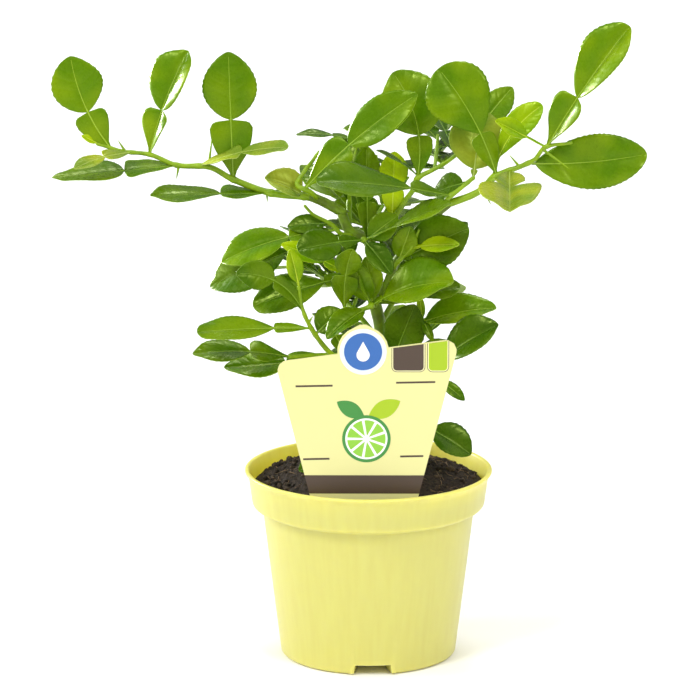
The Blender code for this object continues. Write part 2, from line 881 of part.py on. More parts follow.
def grow_leaves(rng, path, first, count, space, crowd):
    """Seeded leaves round a shoot; one that has no room is turned on or skipped."""
    grown = []
    turn = rng.uniform(0, 360)
    for k in range(count):
        share = first + (1.0 - first) * (k + 0.5) / count
        for _ in range(LEAF_TRIES):
            turn += TURN
            root, along = sprout(path, share, turn, LEAF_ANGLE)
            shape = seeded_leaf(rng, along, share)
            test = leaf_mesh(shape, root, grow=GAP, start=CLEAR_SHARE)
            if room_for(test, space, crowd):
                crowd.add(leaf_mesh(shape, root))
                grown.append((path, shape))
                break
    return grown


def grow_twigs(rng, stem, plan, crowd):
    """Seeded twigs on a mass's stem, each with its own leaves."""
    twigs, grown = [], []
    turn = rng.uniform(0, 360)
    first, last = TWIG_STATIONS
    for k in range(plan["twigs"]):
        share = stem.start + (1.0 - stem.start) * (first + (last - first) * k / plan["twigs"])
        length = rng.uniform(*TWIG_LENGTH)
        for _ in range(TWIG_TRIES):
            turn += TURN
            root, along = sprout(stem.path, share, turn, TWIG_ANGLE)
            middle = root + along * length * 0.5
            tip = middle + (along + Vector((0, 0, RISE_TO_LIGHT))).normalized() * length * 0.5
            test = tube(Path([middle, tip], TWIG_RADII), sides=TWIG_SIDES)
            if room_for(test, plan["space"], crowd):
                twig = Path([root, middle, tip], TWIG_RADII)
                crowd.add(tube(twig, sides=TWIG_SIDES))
                twigs.append(twig)
                count = max(2, round(length / LEAF_SPACING) + 1)
                grown += grow_leaves(rng, twig, FIRST_LEAF, count, plan["space"], crowd)
                break
    return twigs, grown


def plan_plant():
    """Every limb, stem, twig and leaf of the plant, in the order in which they grow."""
    trunk = Path(TRUNK, TRUNK_RADII)
    limbs = {"trunk": Shoot(trunk, 0.0, Vector((0, 0, 1)), TRUNK_FLARE)}
    for name, limb, at, points, radii in BOUGHS:
        limbs[name] = branch(limbs[limb], at, points, radii)
    crowd = Crowd()
    for shoot in limbs.values():
        crowd.add(shoot.solid())
    plants = []
    for plan in MASSES:
        stem = branch(limbs[plan["limb"]], plan["at"], plan["stem"], plan["radii"])
        crowd.add(stem.solid())
        leaves = [(stem.path, shape) for shape in plan["leaves"]]
        for _, shape in leaves:
            crowd.add(leaf_mesh(shape, stem.path.at(shape["at"])[0]))
        plants.append({"plan": plan, "stem": stem, "twigs": [], "leaves": leaves})
    for plant in plants:
        plan, stem = plant["plan"], plant["stem"]
        if not plan["space"]:
            continue
        rng = random.Random(plan["seed"])
        plant["twigs"], grown = grow_twigs(rng, stem, plan, crowd)
        grown += grow_leaves(rng, stem.path, stem.start + FIRST_LEAF, plan["more"], plan["space"], crowd)
        plant["leaves"] += grown
    return limbs, plants


def largest_body(mesh):
    """Keeps the largest connected piece of a mesh, so that scraps and sealed hollows go."""
    shape = bmesh.new()
    shape.from_mesh(mesh)
    bmesh.ops.remove_doubles(shape, verts=shape.verts, dist=0.002 * MM)
    seen, pieces = set(), []
    for first in shape.verts:
        if first in seen:
            continue
        piece, edge = {first}, [first]
        while edge:
            for link in edge.pop().link_edges:
                for vertex in link.verts:
                    if vertex not in piece:
                        piece.add(vertex)
                        edge.append(vertex)
        seen |= piece
        pieces.append(piece)
    pieces.sort(key=len)
    doomed = [vertex for piece in pieces[:-1] for vertex in piece]
    bmesh.ops.delete(shape, geom=doomed, context="VERTS")
    bmesh.ops.recalc_face_normals(shape, faces=shape.faces)
    shape.to_mesh(mesh)
    shape.free()


def join_by_union(name, shapes, material):
    """One object from overlapping closed shapes, by one Boolean union on a collection, applied."""
    joined = add_object(name, *shapes[0], material)
    group = bpy.data.collections.new(name + " pieces")
    bpy.context.scene.collection.children.link(group)
    for k, shape in enumerate(shapes[1:]):
        piece = add_object(f"{name} piece {k}", *shape, material)
        bpy.context.scene.collection.objects.unlink(piece)
        group.objects.link(piece)
    step = joined.modifiers.new("Union", "BOOLEAN")
    step.operand_type = "COLLECTION"
    step.collection = group
    step.operation = "UNION"
    step.solver = "EXACT"
    graph = bpy.context.evaluated_depsgraph_get()
    mesh = bpy.data.meshes.new_from_object(joined.evaluated_get(graph))
    joined.modifiers.clear()
    joined.data = mesh
    for piece in list(group.objects):
        bpy.data.objects.remove(piece, do_unlink=True)
    bpy.data.collections.remove(group)
    largest_body(mesh)
    return joined


def build_foliage(plants, material):
    for plant in plants:
        path = plant["stem"].path
        shapes = [plant["stem"].solid()]
        shapes += [tube(twig, sides=TWIG_SIDES) for twig in plant["twigs"]]
        shapes += [leaf_mesh(shape, stem.at(shape["at"])[0]) for stem, shape in plant["leaves"]]
        for at, slope, lean, length in plant["plan"]["thorns"]:
            shapes.append(thorn_mesh(path.at(at)[0], direction(slope, lean), length))
        join_by_union(plant["plan"]["name"], shapes, material)


def build_limbs(limbs, material):
    for name, shoot in limbs.items():
        add_object(name, *shoot.solid(), material)


def pot_profile():
    """The pot's section from the middle of its underside, up its outer side and down its inner side."""
    lip_foot = POT_HEIGHT - LIP_HEIGHT
    outer = [
        (0.0, 0.0),
        (BASE_RADIUS - BASE_ROUND, 0.0),
        (BASE_RADIUS, BASE_ROUND),
        (BODY_TOP_RADIUS, BODY_TOP_HEIGHT),
        (BAND_FOOT_RADIUS - BAND_ROUND, BAND_FOOT_HEIGHT),
        (BAND_FOOT_RADIUS, BAND_FOOT_HEIGHT + BAND_ROUND),
        (BAND_TOP_RADIUS, BAND_TOP_HEIGHT),
        (LIP_RADIUS - LIP_ROUND, lip_foot),
        (LIP_RADIUS, lip_foot + LIP_ROUND),
        (LIP_RADIUS, POT_HEIGHT - LIP_ROUND),
        (LIP_RADIUS - LIP_ROUND, POT_HEIGHT),
    ]
    inner = [
        (LIP_RADIUS - LIP_WIDTH + LIP_ROUND, POT_HEIGHT),
        (LIP_RADIUS - LIP_WIDTH, POT_HEIGHT - LIP_ROUND),
        (BAND_TOP_RADIUS - POT_WALL, BAND_TOP_HEIGHT),
        (BAND_FOOT_RADIUS - POT_WALL, BAND_FOOT_HEIGHT + POT_WALL),
        (BODY_TOP_RADIUS - POT_WALL, BODY_TOP_HEIGHT + POT_WALL),
        (BASE_RADIUS - POT_WALL, POT_WALL + BASE_ROUND),
        (BASE_RADIUS - POT_WALL - BASE_ROUND, POT_WALL),
        (0.0, POT_WALL),
    ]
    return outer, inner


def turned(name, profile, material):
    """A closed turned solid from a section that starts and ends on the axis."""
    mesh = bpy.data.meshes.new(name)
    points = [(x * MM, 0.0, z * MM) for x, z in reversed(profile)]
    mesh.from_pydata(points, [(i, i + 1) for i in range(len(points) - 1)], [])
    mesh.materials.append(material)
    made = bpy.data.objects.new(name, mesh)
    bpy.context.scene.collection.objects.link(made)
    screw = made.modifiers.new("Turn", "SCREW")
    screw.steps = POT_STEPS
    screw.render_steps = POT_STEPS
    screw.use_merge_vertices = True
    screw.merge_threshold = 0.00001
    screw.use_smooth_shade = True
    return made


def channel(angle, spread, low, high, inner, outer):
    """A drainage channel under the pot, as a wedge along a radius that is wider at its foot."""
    a = math.radians(angle)
    share = (outer - inner) / (BASE_RADIUS - CHANNEL_INNER_RADIUS)
    narrow = CHANNEL_INNER_WIDTH / 2 + spread
    wide = narrow + (CHANNEL_FOOT_WIDTH - CHANNEL_INNER_WIDTH) / 2 * share
    slim = (CHANNEL_FOOT_WIDTH - CHANNEL_TOP_WIDTH) / 2
    plan = [(inner, -narrow), (outer, -wide), (outer, wide), (inner, narrow)]
    narrower, less_wide = narrow - slim, wide - slim
    past = inner + slim
    drawn_in = [(past, -narrower), (outer, -less_wide), (outer, less_wide), (past, narrower)]

    def on_pot(shape):
        return [(r * math.cos(a) - w * math.sin(a), r * math.sin(a) + w * math.cos(a)) for r, w in shape]

    return prism(on_pot(plan), on_pot(drawn_in), low, high)


def channel_turns():
    return [CHANNEL_TURN + 360.0 * k / CHANNELS for k in range(CHANNELS)]


def build_pot(material):
    outer, inner = pot_profile()
    pot = turned("pot", outer + inner, material)
    roof_height = CHANNEL_HEIGHT + POT_WALL
    for k, angle in enumerate(channel_turns()):
        first, last = CHANNEL_INNER_RADIUS - POT_WALL, BASE_RADIUS - POT_WALL / 2
        roof = channel(angle, POT_WALL, POT_WALL / 2, roof_height, first, last)
        add_boolean(pot, as_cutter(add_object(f"channel_roof_{k}", *roof)), "UNION")
    for k, angle in enumerate(channel_turns()):
        first, last = CHANNEL_INNER_RADIUS, BASE_RADIUS + 4 * CUT_PAST
        space = channel(angle, 0.0, -CUT_PAST, CHANNEL_HEIGHT, first, last)
        add_boolean(pot, as_cutter(add_object(f"channel_space_{k}", *space)), "DIFFERENCE")
        a = math.radians(angle)
        x, y = DRAIN_RADIUS * math.cos(a), DRAIN_RADIUS * math.sin(a)
        spots = [math.tau * i / HOLE_SIDES for i in range(HOLE_SIDES)]
        circle = [(x + DRAIN_HOLE / 2 * math.cos(t), y + DRAIN_HOLE / 2 * math.sin(t)) for t in spots]
        hole = prism(circle, circle, CHANNEL_HEIGHT - CUT_PAST, roof_height + CUT_PAST)
        add_boolean(pot, as_cutter(add_object(f"drain_hole_{k}", *hole)), "DIFFERENCE")


def build_soil(material):
    """Soil that fills the pot, with a flat seat for the trunk and a slot for the label's stake."""
    wall = POT_WALL + GAP
    ledge = BAND_FOOT_HEIGHT + POT_WALL
    band_lean = (BAND_TOP_RADIUS - BAND_FOOT_RADIUS) / (BAND_TOP_HEIGHT - ledge)
    section = [
        (0.0, wall),
        (BASE_RADIUS - wall - BASE_ROUND, wall),
        (BASE_RADIUS - wall, wall + BASE_ROUND),
        (BODY_TOP_RADIUS - wall, BODY_TOP_HEIGHT + wall),
        (BAND_FOOT_RADIUS - wall, ledge + GAP),
        (BAND_FOOT_RADIUS - wall + band_lean * (SOIL_EDGE - ledge), SOIL_EDGE),
        *SOIL_CROWN,
        (SOIL_SEAT_RADIUS, SOIL_TOP),
        (0.0, SOIL_TOP),
    ]
    soil = turned("soil", section, material)
    for k, angle in enumerate(channel_turns()):
        first, last = CHANNEL_INNER_RADIUS - wall, BASE_RADIUS + 4 * CUT_PAST
        space = channel(angle, wall, 0.0, CHANNEL_HEIGHT + wall, first, last)
        add_boolean(soil, as_cutter(add_object(f"channel_clear_{k}", *space)), "DIFFERENCE")
    slot = extruded(stake_outline(GAP), LABEL_THICKNESS + 2 * GAP)
    add_boolean(soil, as_cutter(add_object("stake_slot", *slot)), "DIFFERENCE")


def stake_outline(grow=0.0):
    """The label's stake as (across, up), anticlockwise from its tip."""
    half = STAKE_WIDTH / 2 + grow
    middle = (LABEL_FOOT_LEFT + LABEL_FOOT_RIGHT) / 2
    top = LABEL_FOOT + CUT_PAST if grow else LABEL_FOOT
    return [
        (middle, STAKE_TIP - 2 * grow),
        (middle + half, STAKE_SHOULDER),
        (middle + half, top),
        (middle - half, top),
        (middle - half, STAKE_SHOULDER),
    ]


def round_corner(before, corner, after):
    """An arc of LABEL_CORNER radius in place of a corner."""
    a, b, c = Vector(before), Vector(corner), Vector(after)
    into, out = (a - b).normalized(), (c - b).normalized()
    half = into.angle(out) / 2
    reach = LABEL_CORNER / math.tan(half)
    centre = b + (into + out).normalized() * (LABEL_CORNER / math.sin(half))
    first = b + into * reach - centre
    last = b + out * reach - centre
    turns = [k / CORNER_STEPS for k in range(CORNER_STEPS + 1)]
    return [tuple(centre + (first.lerp(last, t)).normalized() * LABEL_CORNER) for t in turns]


def label_outline():
    """The card's outline as (across, up), anticlockwise from the foot of its stake."""
    stake = stake_outline()
    foot_left, foot_right = (LABEL_FOOT_LEFT, LABEL_FOOT), (LABEL_FOOT_RIGHT, LABEL_FOOT)
    slope = Vector(LABEL_TOP_RIGHT) - Vector(LABEL_TOP_LEFT)
    climb = math.atan2(slope.y, slope.x)
    cx, cz = BUMP_CENTRE
    edge_z = LABEL_TOP_LEFT[1] + (cx - LABEL_TOP_LEFT[0]) * math.tan(climb)
    dip = math.asin((edge_z - cz) * math.cos(climb) / BUMP_RADIUS)
    first, last = climb + dip, math.pi + climb - dip
    bump = []
    for k in range(BUMP_STEPS + 1):
        a = first + (last - first) * k / BUMP_STEPS
        lift = max(0.0, 1.0 - abs(math.cos(a)) * BUMP_RADIUS / (NUB_WIDTH / 2)) * NUB_HEIGHT
        bump.append((cx + BUMP_RADIUS * math.cos(a), cz + BUMP_RADIUS * math.sin(a) + lift))
    return [
        *stake[:3],
        foot_right,
        *round_corner(foot_right, LABEL_TOP_RIGHT, LABEL_TOP_LEFT),
        *bump,
        *round_corner(LABEL_TOP_RIGHT, LABEL_TOP_LEFT, foot_left),
        foot_left,
        *stake[3:],
    ]


def extruded(outline, thickness):
    """A card in the label's plane from an outline of (across, up)."""
    count = len(outline)
    front, back = LABEL_Y - thickness / 2, LABEL_Y + thickness / 2
    vertices = [(x, front, z) for x, z in outline] + [(x, back, z) for x, z in outline]
    sides = [(i, count + i, count + (i + 1) % count, (i + 1) % count) for i in range(count)]
    return vertices, [*sides, tuple(range(count)), tuple(reversed(range(count, 2 * count)))]


def build_label(material):
    add_object("label", *extruded(label_outline(), LABEL_THICKNESS), material)


def main():
    clear_scene()
    limbs, plants = plan_plant()
    build_pot(plain_material("pale yellow moulded plastic", (0.75, 0.70, 0.22), 0.4))
    build_soil(plain_material("dark peat soil", (0.03, 0.02, 0.015), 0.95))
    build_label(plain_material("printed plastic card", (0.85, 0.80, 0.30), 0.45))
    build_limbs(limbs, plain_material("green bark", (0.13, 0.22, 0.03), 0.6))
    build_foliage(plants, plain_material("citrus leaf", (0.08, 0.24, 0.01), 0.35))


if __name__ == "__main__":
    main()
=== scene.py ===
"""Looks of a potted kaffir lime tree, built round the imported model's frame and laid out as an add-on.

Metres, +Z up. Growth is worked out in millimetres and degrees by the rule of the part's own source, and is
turned to metres when a mesh is made.
"""

import math
import random

import bmesh
import bpy
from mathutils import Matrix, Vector, noise
from mathutils.bvhtree import BVHTree


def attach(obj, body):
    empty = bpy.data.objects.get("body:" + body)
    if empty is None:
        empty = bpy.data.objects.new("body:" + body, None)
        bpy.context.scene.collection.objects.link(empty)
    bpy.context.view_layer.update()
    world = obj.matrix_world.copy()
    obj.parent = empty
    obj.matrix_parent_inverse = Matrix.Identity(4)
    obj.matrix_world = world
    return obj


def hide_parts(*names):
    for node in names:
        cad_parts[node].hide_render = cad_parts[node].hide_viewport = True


bl_info = {
    "name": "Potted Kaffir Lime",
    "version": (1, 0, 0),
    "blender": (4, 5, 0),
    "location": "View3D > Sidebar > Kaffir Lime",
    "description": "Builds the leaves, bark, pot, soil, label and studio of a young kaffir lime tree",
    "category": "Add Mesh",
}

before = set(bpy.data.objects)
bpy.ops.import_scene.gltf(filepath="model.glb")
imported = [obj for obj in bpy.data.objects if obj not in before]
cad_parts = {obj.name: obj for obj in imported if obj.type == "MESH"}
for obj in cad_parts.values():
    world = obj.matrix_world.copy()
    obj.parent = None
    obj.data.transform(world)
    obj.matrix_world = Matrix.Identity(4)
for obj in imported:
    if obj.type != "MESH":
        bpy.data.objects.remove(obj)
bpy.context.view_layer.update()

MM = 0.001
GAP = 0.35  # clearance between pieces that touch on the real plant

# Pot
POT_HEIGHT = 92.0
LIP_RADIUS = 60.0
LIP_HEIGHT = 1.6
LIP_WIDTH = 2.2
BAND_TOP_RADIUS = 58.2
BAND_TOP_HEIGHT = 88.4
BAND_FOOT_RADIUS = 56.4
BAND_FOOT_HEIGHT = 74.0
BODY_TOP_RADIUS = 51.5
BODY_TOP_HEIGHT = 73.3
BASE_RADIUS = 42.6
POT_WALL = 1.4
BASE_ROUND = 1.2
BAND_ROUND = 1.2
LIP_ROUND = 0.5
POT_STEPS = 42
CHANNELS = 3
CHANNEL_TURN = -87.0  # where the first channel runs, from +X
CHANNEL_HEIGHT = 5.0
CHANNEL_INNER_RADIUS = 16.0
CHANNEL_INNER_WIDTH = 9.0
CHANNEL_FOOT_WIDTH = 19.4
CHANNEL_TOP_WIDTH = 17.4
DRAIN_RADIUS = 30.0
DRAIN_HOLE = 6.0
HOLE_SIDES = 12
CUT_PAST = 1.0  # how far a cutting shape runs past what it cuts

# Soil
SOIL_TOP = 96.0
SOIL_EDGE = 84.2
SOIL_CROWN = ((49.0, 86.6), (44.0, 87.6), (34.0, 91.2), (24.0, 94.2), (14.0, 95.7))  # radius, height
SOIL_SEAT_RADIUS = 8.0

# Label: a card whose sides lean out and whose top edge climbs to the right, on a pointed stake
LABEL_Y = -46.0
LABEL_THICKNESS = 0.8
LABEL_FOOT = 88.0
LABEL_FOOT_LEFT = -27.2
LABEL_FOOT_RIGHT = 23.2
LABEL_TOP_LEFT = (-44.2, 155.8)
LABEL_TOP_RIGHT = (43.2, 167.4)
LABEL_CORNER = 5.0
CORNER_STEPS = 4
BUMP_CENTRE = (-2.6, 160.9)
BUMP_RADIUS = 12.2
BUMP_STEPS = 12
NUB_HEIGHT = 2.3
NUB_WIDTH = 5.0
STAKE_WIDTH = 14.0
STAKE_SHOULDER = 74.0
STAKE_TIP = 60.0

# Leaves: a kaffir lime leaf is a blade on a winged stalk nearly as large as the blade
WING_SHARE = 0.42
BLADE_PEAK = 0.47  # where a blade is broadest, from its foot
BLADE_BLUNT = 0.66  # how full its ends are: less is fuller
LEAF_THICKNESS = 0.9
STALK_HALF_WIDTH = 0.6
WING_BREADTH = 0.88  # of the blade's breadth, each against its own length
WING_ROWS = (0.5, 0.82, 0.97)
BLADE_ROWS = (0.11, 0.4, 0.72, 0.93)
CLEAR_SHARE = 0.2  # the share of a leaf, from its root, that may touch its own shoot

# Growth of the leaves and twigs that are not placed one by one
TURN = 137.5  # from one leaf to the next round a shoot
LEAF_ANGLE = 58.0  # between a leaf and its shoot
TWIG_ANGLE = 50.0
TWIG_LENGTH = (14.0, 24.0)
TWIG_RADII = (0.95, 0.7)
TWIG_STATIONS = (0.4, 0.9)  # the share of a stem that bears twigs
LEAF_SIZE = (34.0, 50.0)
LEAF_BREADTH = (0.58, 0.72)
LEAF_CURL = (15, 40)
LEAF_SWAY = (-12, 12)
LEAF_FOLD = (6, 18)
LEAF_SPACING = 9.0
FIRST_LEAF = 0.3  # the share of a twig, or of a stem past its foot, that bears no seeded leaf
LOOK_SPREAD = 0.4  # how far a seeded leaf's face turns outward
LOOK_STRAY = 0.75  # how far that turn strays from leaf to leaf
RISE_TO_LIGHT = 0.25  # how far twigs, and the leaves on them, turn up
LEAF_TRIES = 14
TWIG_TRIES = 8

STEM_SIDES = 6
TWIG_SIDES = 4
THORN_SIDES = 3
STEM_STEP = 7.0
TRUNK_FLARE = 1.6
THORN_RADIUS = 0.55
ACROSS = Vector((0.31, 0.95, 0.11))  # where the first corner of every stem's section lies

# Open sky in and round the crown as seen from the front: circles in the plane of the pot's axis, as across,
# up and radius. No seeded leaf or twig shows in them.
VIEW_POINT = Vector((0, -2100, 649))
SKY = (
    (-27, 292, 28),
    (-43, 269, 12),
    (-17, 265, 6),
    (-35, 251, 6),
    (-50, 242, 6),
    (-63, 217, 9),
    (-49, 218, 7),
    (-41, 220, 5),
    (-86, 205, 18),
    (-68, 174, 7),
    (-38, 170, 5),
    (-33, 157, 5.5),
    (-22, 177, 4),
    (11, 255, 6),
    (18, 254, 4.5),
    (72, 292, 14),
    (75, 250, 6),
    (63, 217, 6),
    (52, 216, 5),
    (58, 207, 10),
    (54, 194, 13),
    (42, 196, 5.5),
    (56, 181, 5.5),
    (67, 163, 4.5),
    (91, 192, 37),
    (49, 139, 7),
    (48, 119, 7),
    (92, 124, 44),
    (-53, 115, 14),
    (-86, 114, 33),
)


def direction(slope, lean):
    """A direction from its slope as seen from the front and its lean away from the viewer."""
    a, b = math.radians(slope), math.radians(lean)
    return Vector((math.cos(a) * math.cos(b), math.sin(b), math.sin(a) * math.cos(b)))


def leaf(
    at,
    slope,
    lean,
    size,
    tilt=45,
    pan=0,
    broad=0.66,
    wing=WING_SHARE,
    winged=1.0,
    curl=25,
    sway=0,
    fold=12,
    peak=BLADE_PEAK,
    blunt=BLADE_BLUNT,
    tone="green",
):
    """One leaf: its station on the shoot, the way its tip lies, its length, and how its face looks.

    tilt lifts the face from level to upward and pan turns it to the right. broad is the blade's breadth
    against its length, wing the stalk's share of the whole, and winged its breadth against the usual.
    curl is how far the midrib bends back, sway how far it bends sideways, and fold how far each half is
    raised.
    """
    level, turned = math.radians(tilt), math.radians(pan)
    look = (math.sin(turned) * math.cos(level), -math.cos(turned) * math.cos(level), math.sin(level))
    return {
        "at": at,
        "along": direction(slope, lean),
        "look": Vector(look),
        "size": size,
        "broad": broad,
        "wing": wing,
        "winged": winged,
        "curl": math.radians(curl),
        "sway": math.radians(sway),
        "fold": math.tan(math.radians(fold)),
        "peak": peak,
        "blunt": blunt,
        "tone": tone,
    }


# The trunk and every stem below give a few points that they curve through: across, to the back, up.
TRUNK = (
    (5.5, 3.7, SOIL_TOP + GAP),
    (7, 3, 125),
    (6, 2, 160),
    (2.5, 1, 176),
    (1.5, 0, 190),
    (0, 0, 204),
    (-9, 1, 209),
    (-13, 2, 218),
)
TRUNK_RADII = (3.9, 2.4)

# Boughs: name, the limb that carries it and the station on that limb (1 is its tip), points, radii
BOUGHS = (
    ("left_bough", "trunk", 1.0, ((-20, 2, 222.3), (-27.5, 2, 225.6)), (2.5, 2.2)),
    ("right_bough", "trunk", 0.612, ((8.5, -1, 183), (12.6, -1.5, 194)), (2.3, 2.1)),
    (
        "upper_right_bough",
        "right_bough",
        1.0,
        ((20.3, -2, 205), (28, -3, 214.2), (38, -4.8, 223.6)),
        (2.1, 1.9),
    ),
    ("leader_bough", "trunk", 0.838, ((5.5, -1.5, 209), (10, -2, 213.4)), (1.9, 1.7)),
)


def mass(name, limb, at, stem, radii, leaves=(), thorns=(), space=None, twigs=0, more=0, seed=0):
    """One mass of foliage on one stem; twigs and more leaves are seeded, and stay in its space."""
    return {
        "name": name,
        "limb": limb,
        "at": at,
        "stem": stem,
        "radii": radii,
        "leaves": leaves,
        "thorns": thorns,
        "space": space,
        "twigs": twigs,
        "more": more,
        "seed": seed,
    }


LEFT_MASSES = (
    mass(
        "left_arm_foliage",
        "left_bough",
        1.0,
        (
            (-47, 3, 227.3),
            (-66, 5, 234),
            (-76, 6, 239.2),
            (-92, 7, 240),
            (-105, 8, 245),
            (-118, 8.5, 246.5),
            (-130, 9, 250),
        ),
        (1.9, 0.8),
        leaves=(
            leaf(0.03, 154, -4, 21, tilt=58, broad=0.95, wing=0.1, fold=30, peak=0.4, tone="pale"),
            leaf(0.18, 180, -7, 58, tilt=80, winged=1.2, curl=2, peak=0.56, blunt=0.5, tone="deep"),
            leaf(0.36, 92, 3, 61.5, tilt=0, broad=0.82, wing=0.47, curl=10, fold=4, tone="fresh"),
            leaf(0.53, 16, -20, 48, tilt=66, broad=0.52, wing=0.5, peak=0.6, blunt=0.5, tone="pale"),
            leaf(
                0.63, 185, -5, 60, tilt=77, winged=1.35, curl=-5, sway=10, peak=0.38, blunt=0.8,
                tone="green",
            ),
            leaf(
                0.76, 69.5, 2, 53.5, tilt=10, pan=-42, broad=0.78, fold=30, peak=0.52, blunt=0.58,
                tone="bright",
            ),
            leaf(0.84, 189, -35, 33, tilt=70, broad=0.6, wing=0.48, winged=1.2, tone="pale"),
            leaf(0.94, 113, 3, 48, tilt=0, broad=0.92, curl=12, sway=-28, fold=5, peak=0.5, tone="bright"),
            leaf(1.0, 150, -12, 9, broad=0.5, wing=0.1, tone="young"),
        ),
        thorns=((0.485, 83, 5, 17), (0.62, -100, -10, 7), (0.87, 122, 0, 7), (0.2, -85, -5, 5)),
    ),
    mass(
        "left_upper_foliage",
        "left_bough",
        0.75,
        ((-28.5, -3.5, 229.5), (-34.3, -4.5, 232.5), (-31, 3, 237.5), (-27, 13, 241), (-24, 20, 244)),
        (1.3, 0.8),
        leaves=(
            leaf(
                0.26, 41.5, -6, 72, tilt=18, pan=-28, broad=0.52, wing=0.43, winged=1.15, curl=12, sway=-12,
                fold=18, tone="fresh",
            ),
        ),
        space=((2, 32, 258), (38, 30, 26)),
        twigs=2,
        more=4,
        seed=3,
    ),
    mass(
        "left_inner_foliage",
        "trunk",
        0.892,
        ((-13, -3, 208.5), (-18, -4, 213.5), (-27, -6, 219), (-30.5, -7, 223)),
        (1.1, 0.7),
        leaves=(
            leaf(
                0.36, 195.5, -1, 57.5, tilt=60, broad=0.7, wing=0.4, winged=0.9, curl=34, peak=0.5,
                tone="fresh",
            ),
            leaf(0.5, 185, 7, 21, tilt=50, broad=0.62, wing=0.1, tone="dark"),
            leaf(0.2, 202.5, 6, 71, tilt=50, broad=0.66, tone="deep"),
        ),
    ),
    mass(
        "left_lower_foliage",
        "trunk",
        0.655,
        ((-4, -2, 186.5), (-9, -3.5, 188.5)),
        (1.2, 0.8),
        leaves=(
            leaf(0.9, 197, -4, 50, tilt=50, broad=0.6, wing=0.28, peak=0.58, blunt=0.55, tone="green"),
            leaf(1.0, 151, -21, 40, tilt=40, broad=0.42, tone="young"),
        ),
    ),
    mass(
        "young_shoot_foliage",
        "trunk",
        0.245,
        (
            (-1, -4, 136),
            (-11, -9, 145),
            (-20, -13, 154),
            (-27.5, -16, 165.3),
            (-31.5, -18, 175),
            (-33.3, -19.5, 186.3),
        ),
        (1.9, 0.7),
        leaves=(
            leaf(1.0, 102, -12, 20, tilt=0, pan=20, broad=0.5, wing=0.15, tone="young"),
            leaf(
                0.81, 145, -16, 41, tilt=20, broad=0.8, wing=0.56, winged=0.5, sway=70, curl=20,
                tone="deep",
            ),
            leaf(
                0.71, 180, -8, 55, tilt=52, broad=0.4, wing=0.33, curl=10, peak=0.6, blunt=0.5,
                tone="fresh",
            ),
            leaf(0.66, 40, 24, 18, tilt=30, broad=0.95, wing=0.1, tone="deep"),
        ),
        thorns=((0.75, 60, -20, 5),),
    ),
    mass(
        "lower_left_foliage",
        "trunk",
        0.375,
        ((-5, 3, 146.5), (-20.5, 3, 147.5), (-38, 1, 147)),
        (1.4, 0.9),
        leaves=(
            leaf(0.56, 186, -3, 52, tilt=64, broad=0.66, curl=-14, peak=0.42, tone="bright"),
            leaf(1.0, 175, -13, 48, tilt=63, broad=0.6, winged=1.4, tone="green"),
            leaf(0.4, 118, 8, 26, tilt=35, broad=0.8, tone="fresh"),
        ),
    ),
    mass(
        "foot_left_foliage",
        "trunk",
        0.03,
        ((0, -5, 101), (-8, -12, 103)),
        (1.1, 0.8),
        leaves=(
            leaf(1.0, 192, -30, 30, tilt=50, tone="dark"),
            leaf(0.6, 125, -15, 34, tilt=45),
        ),
    ),
)

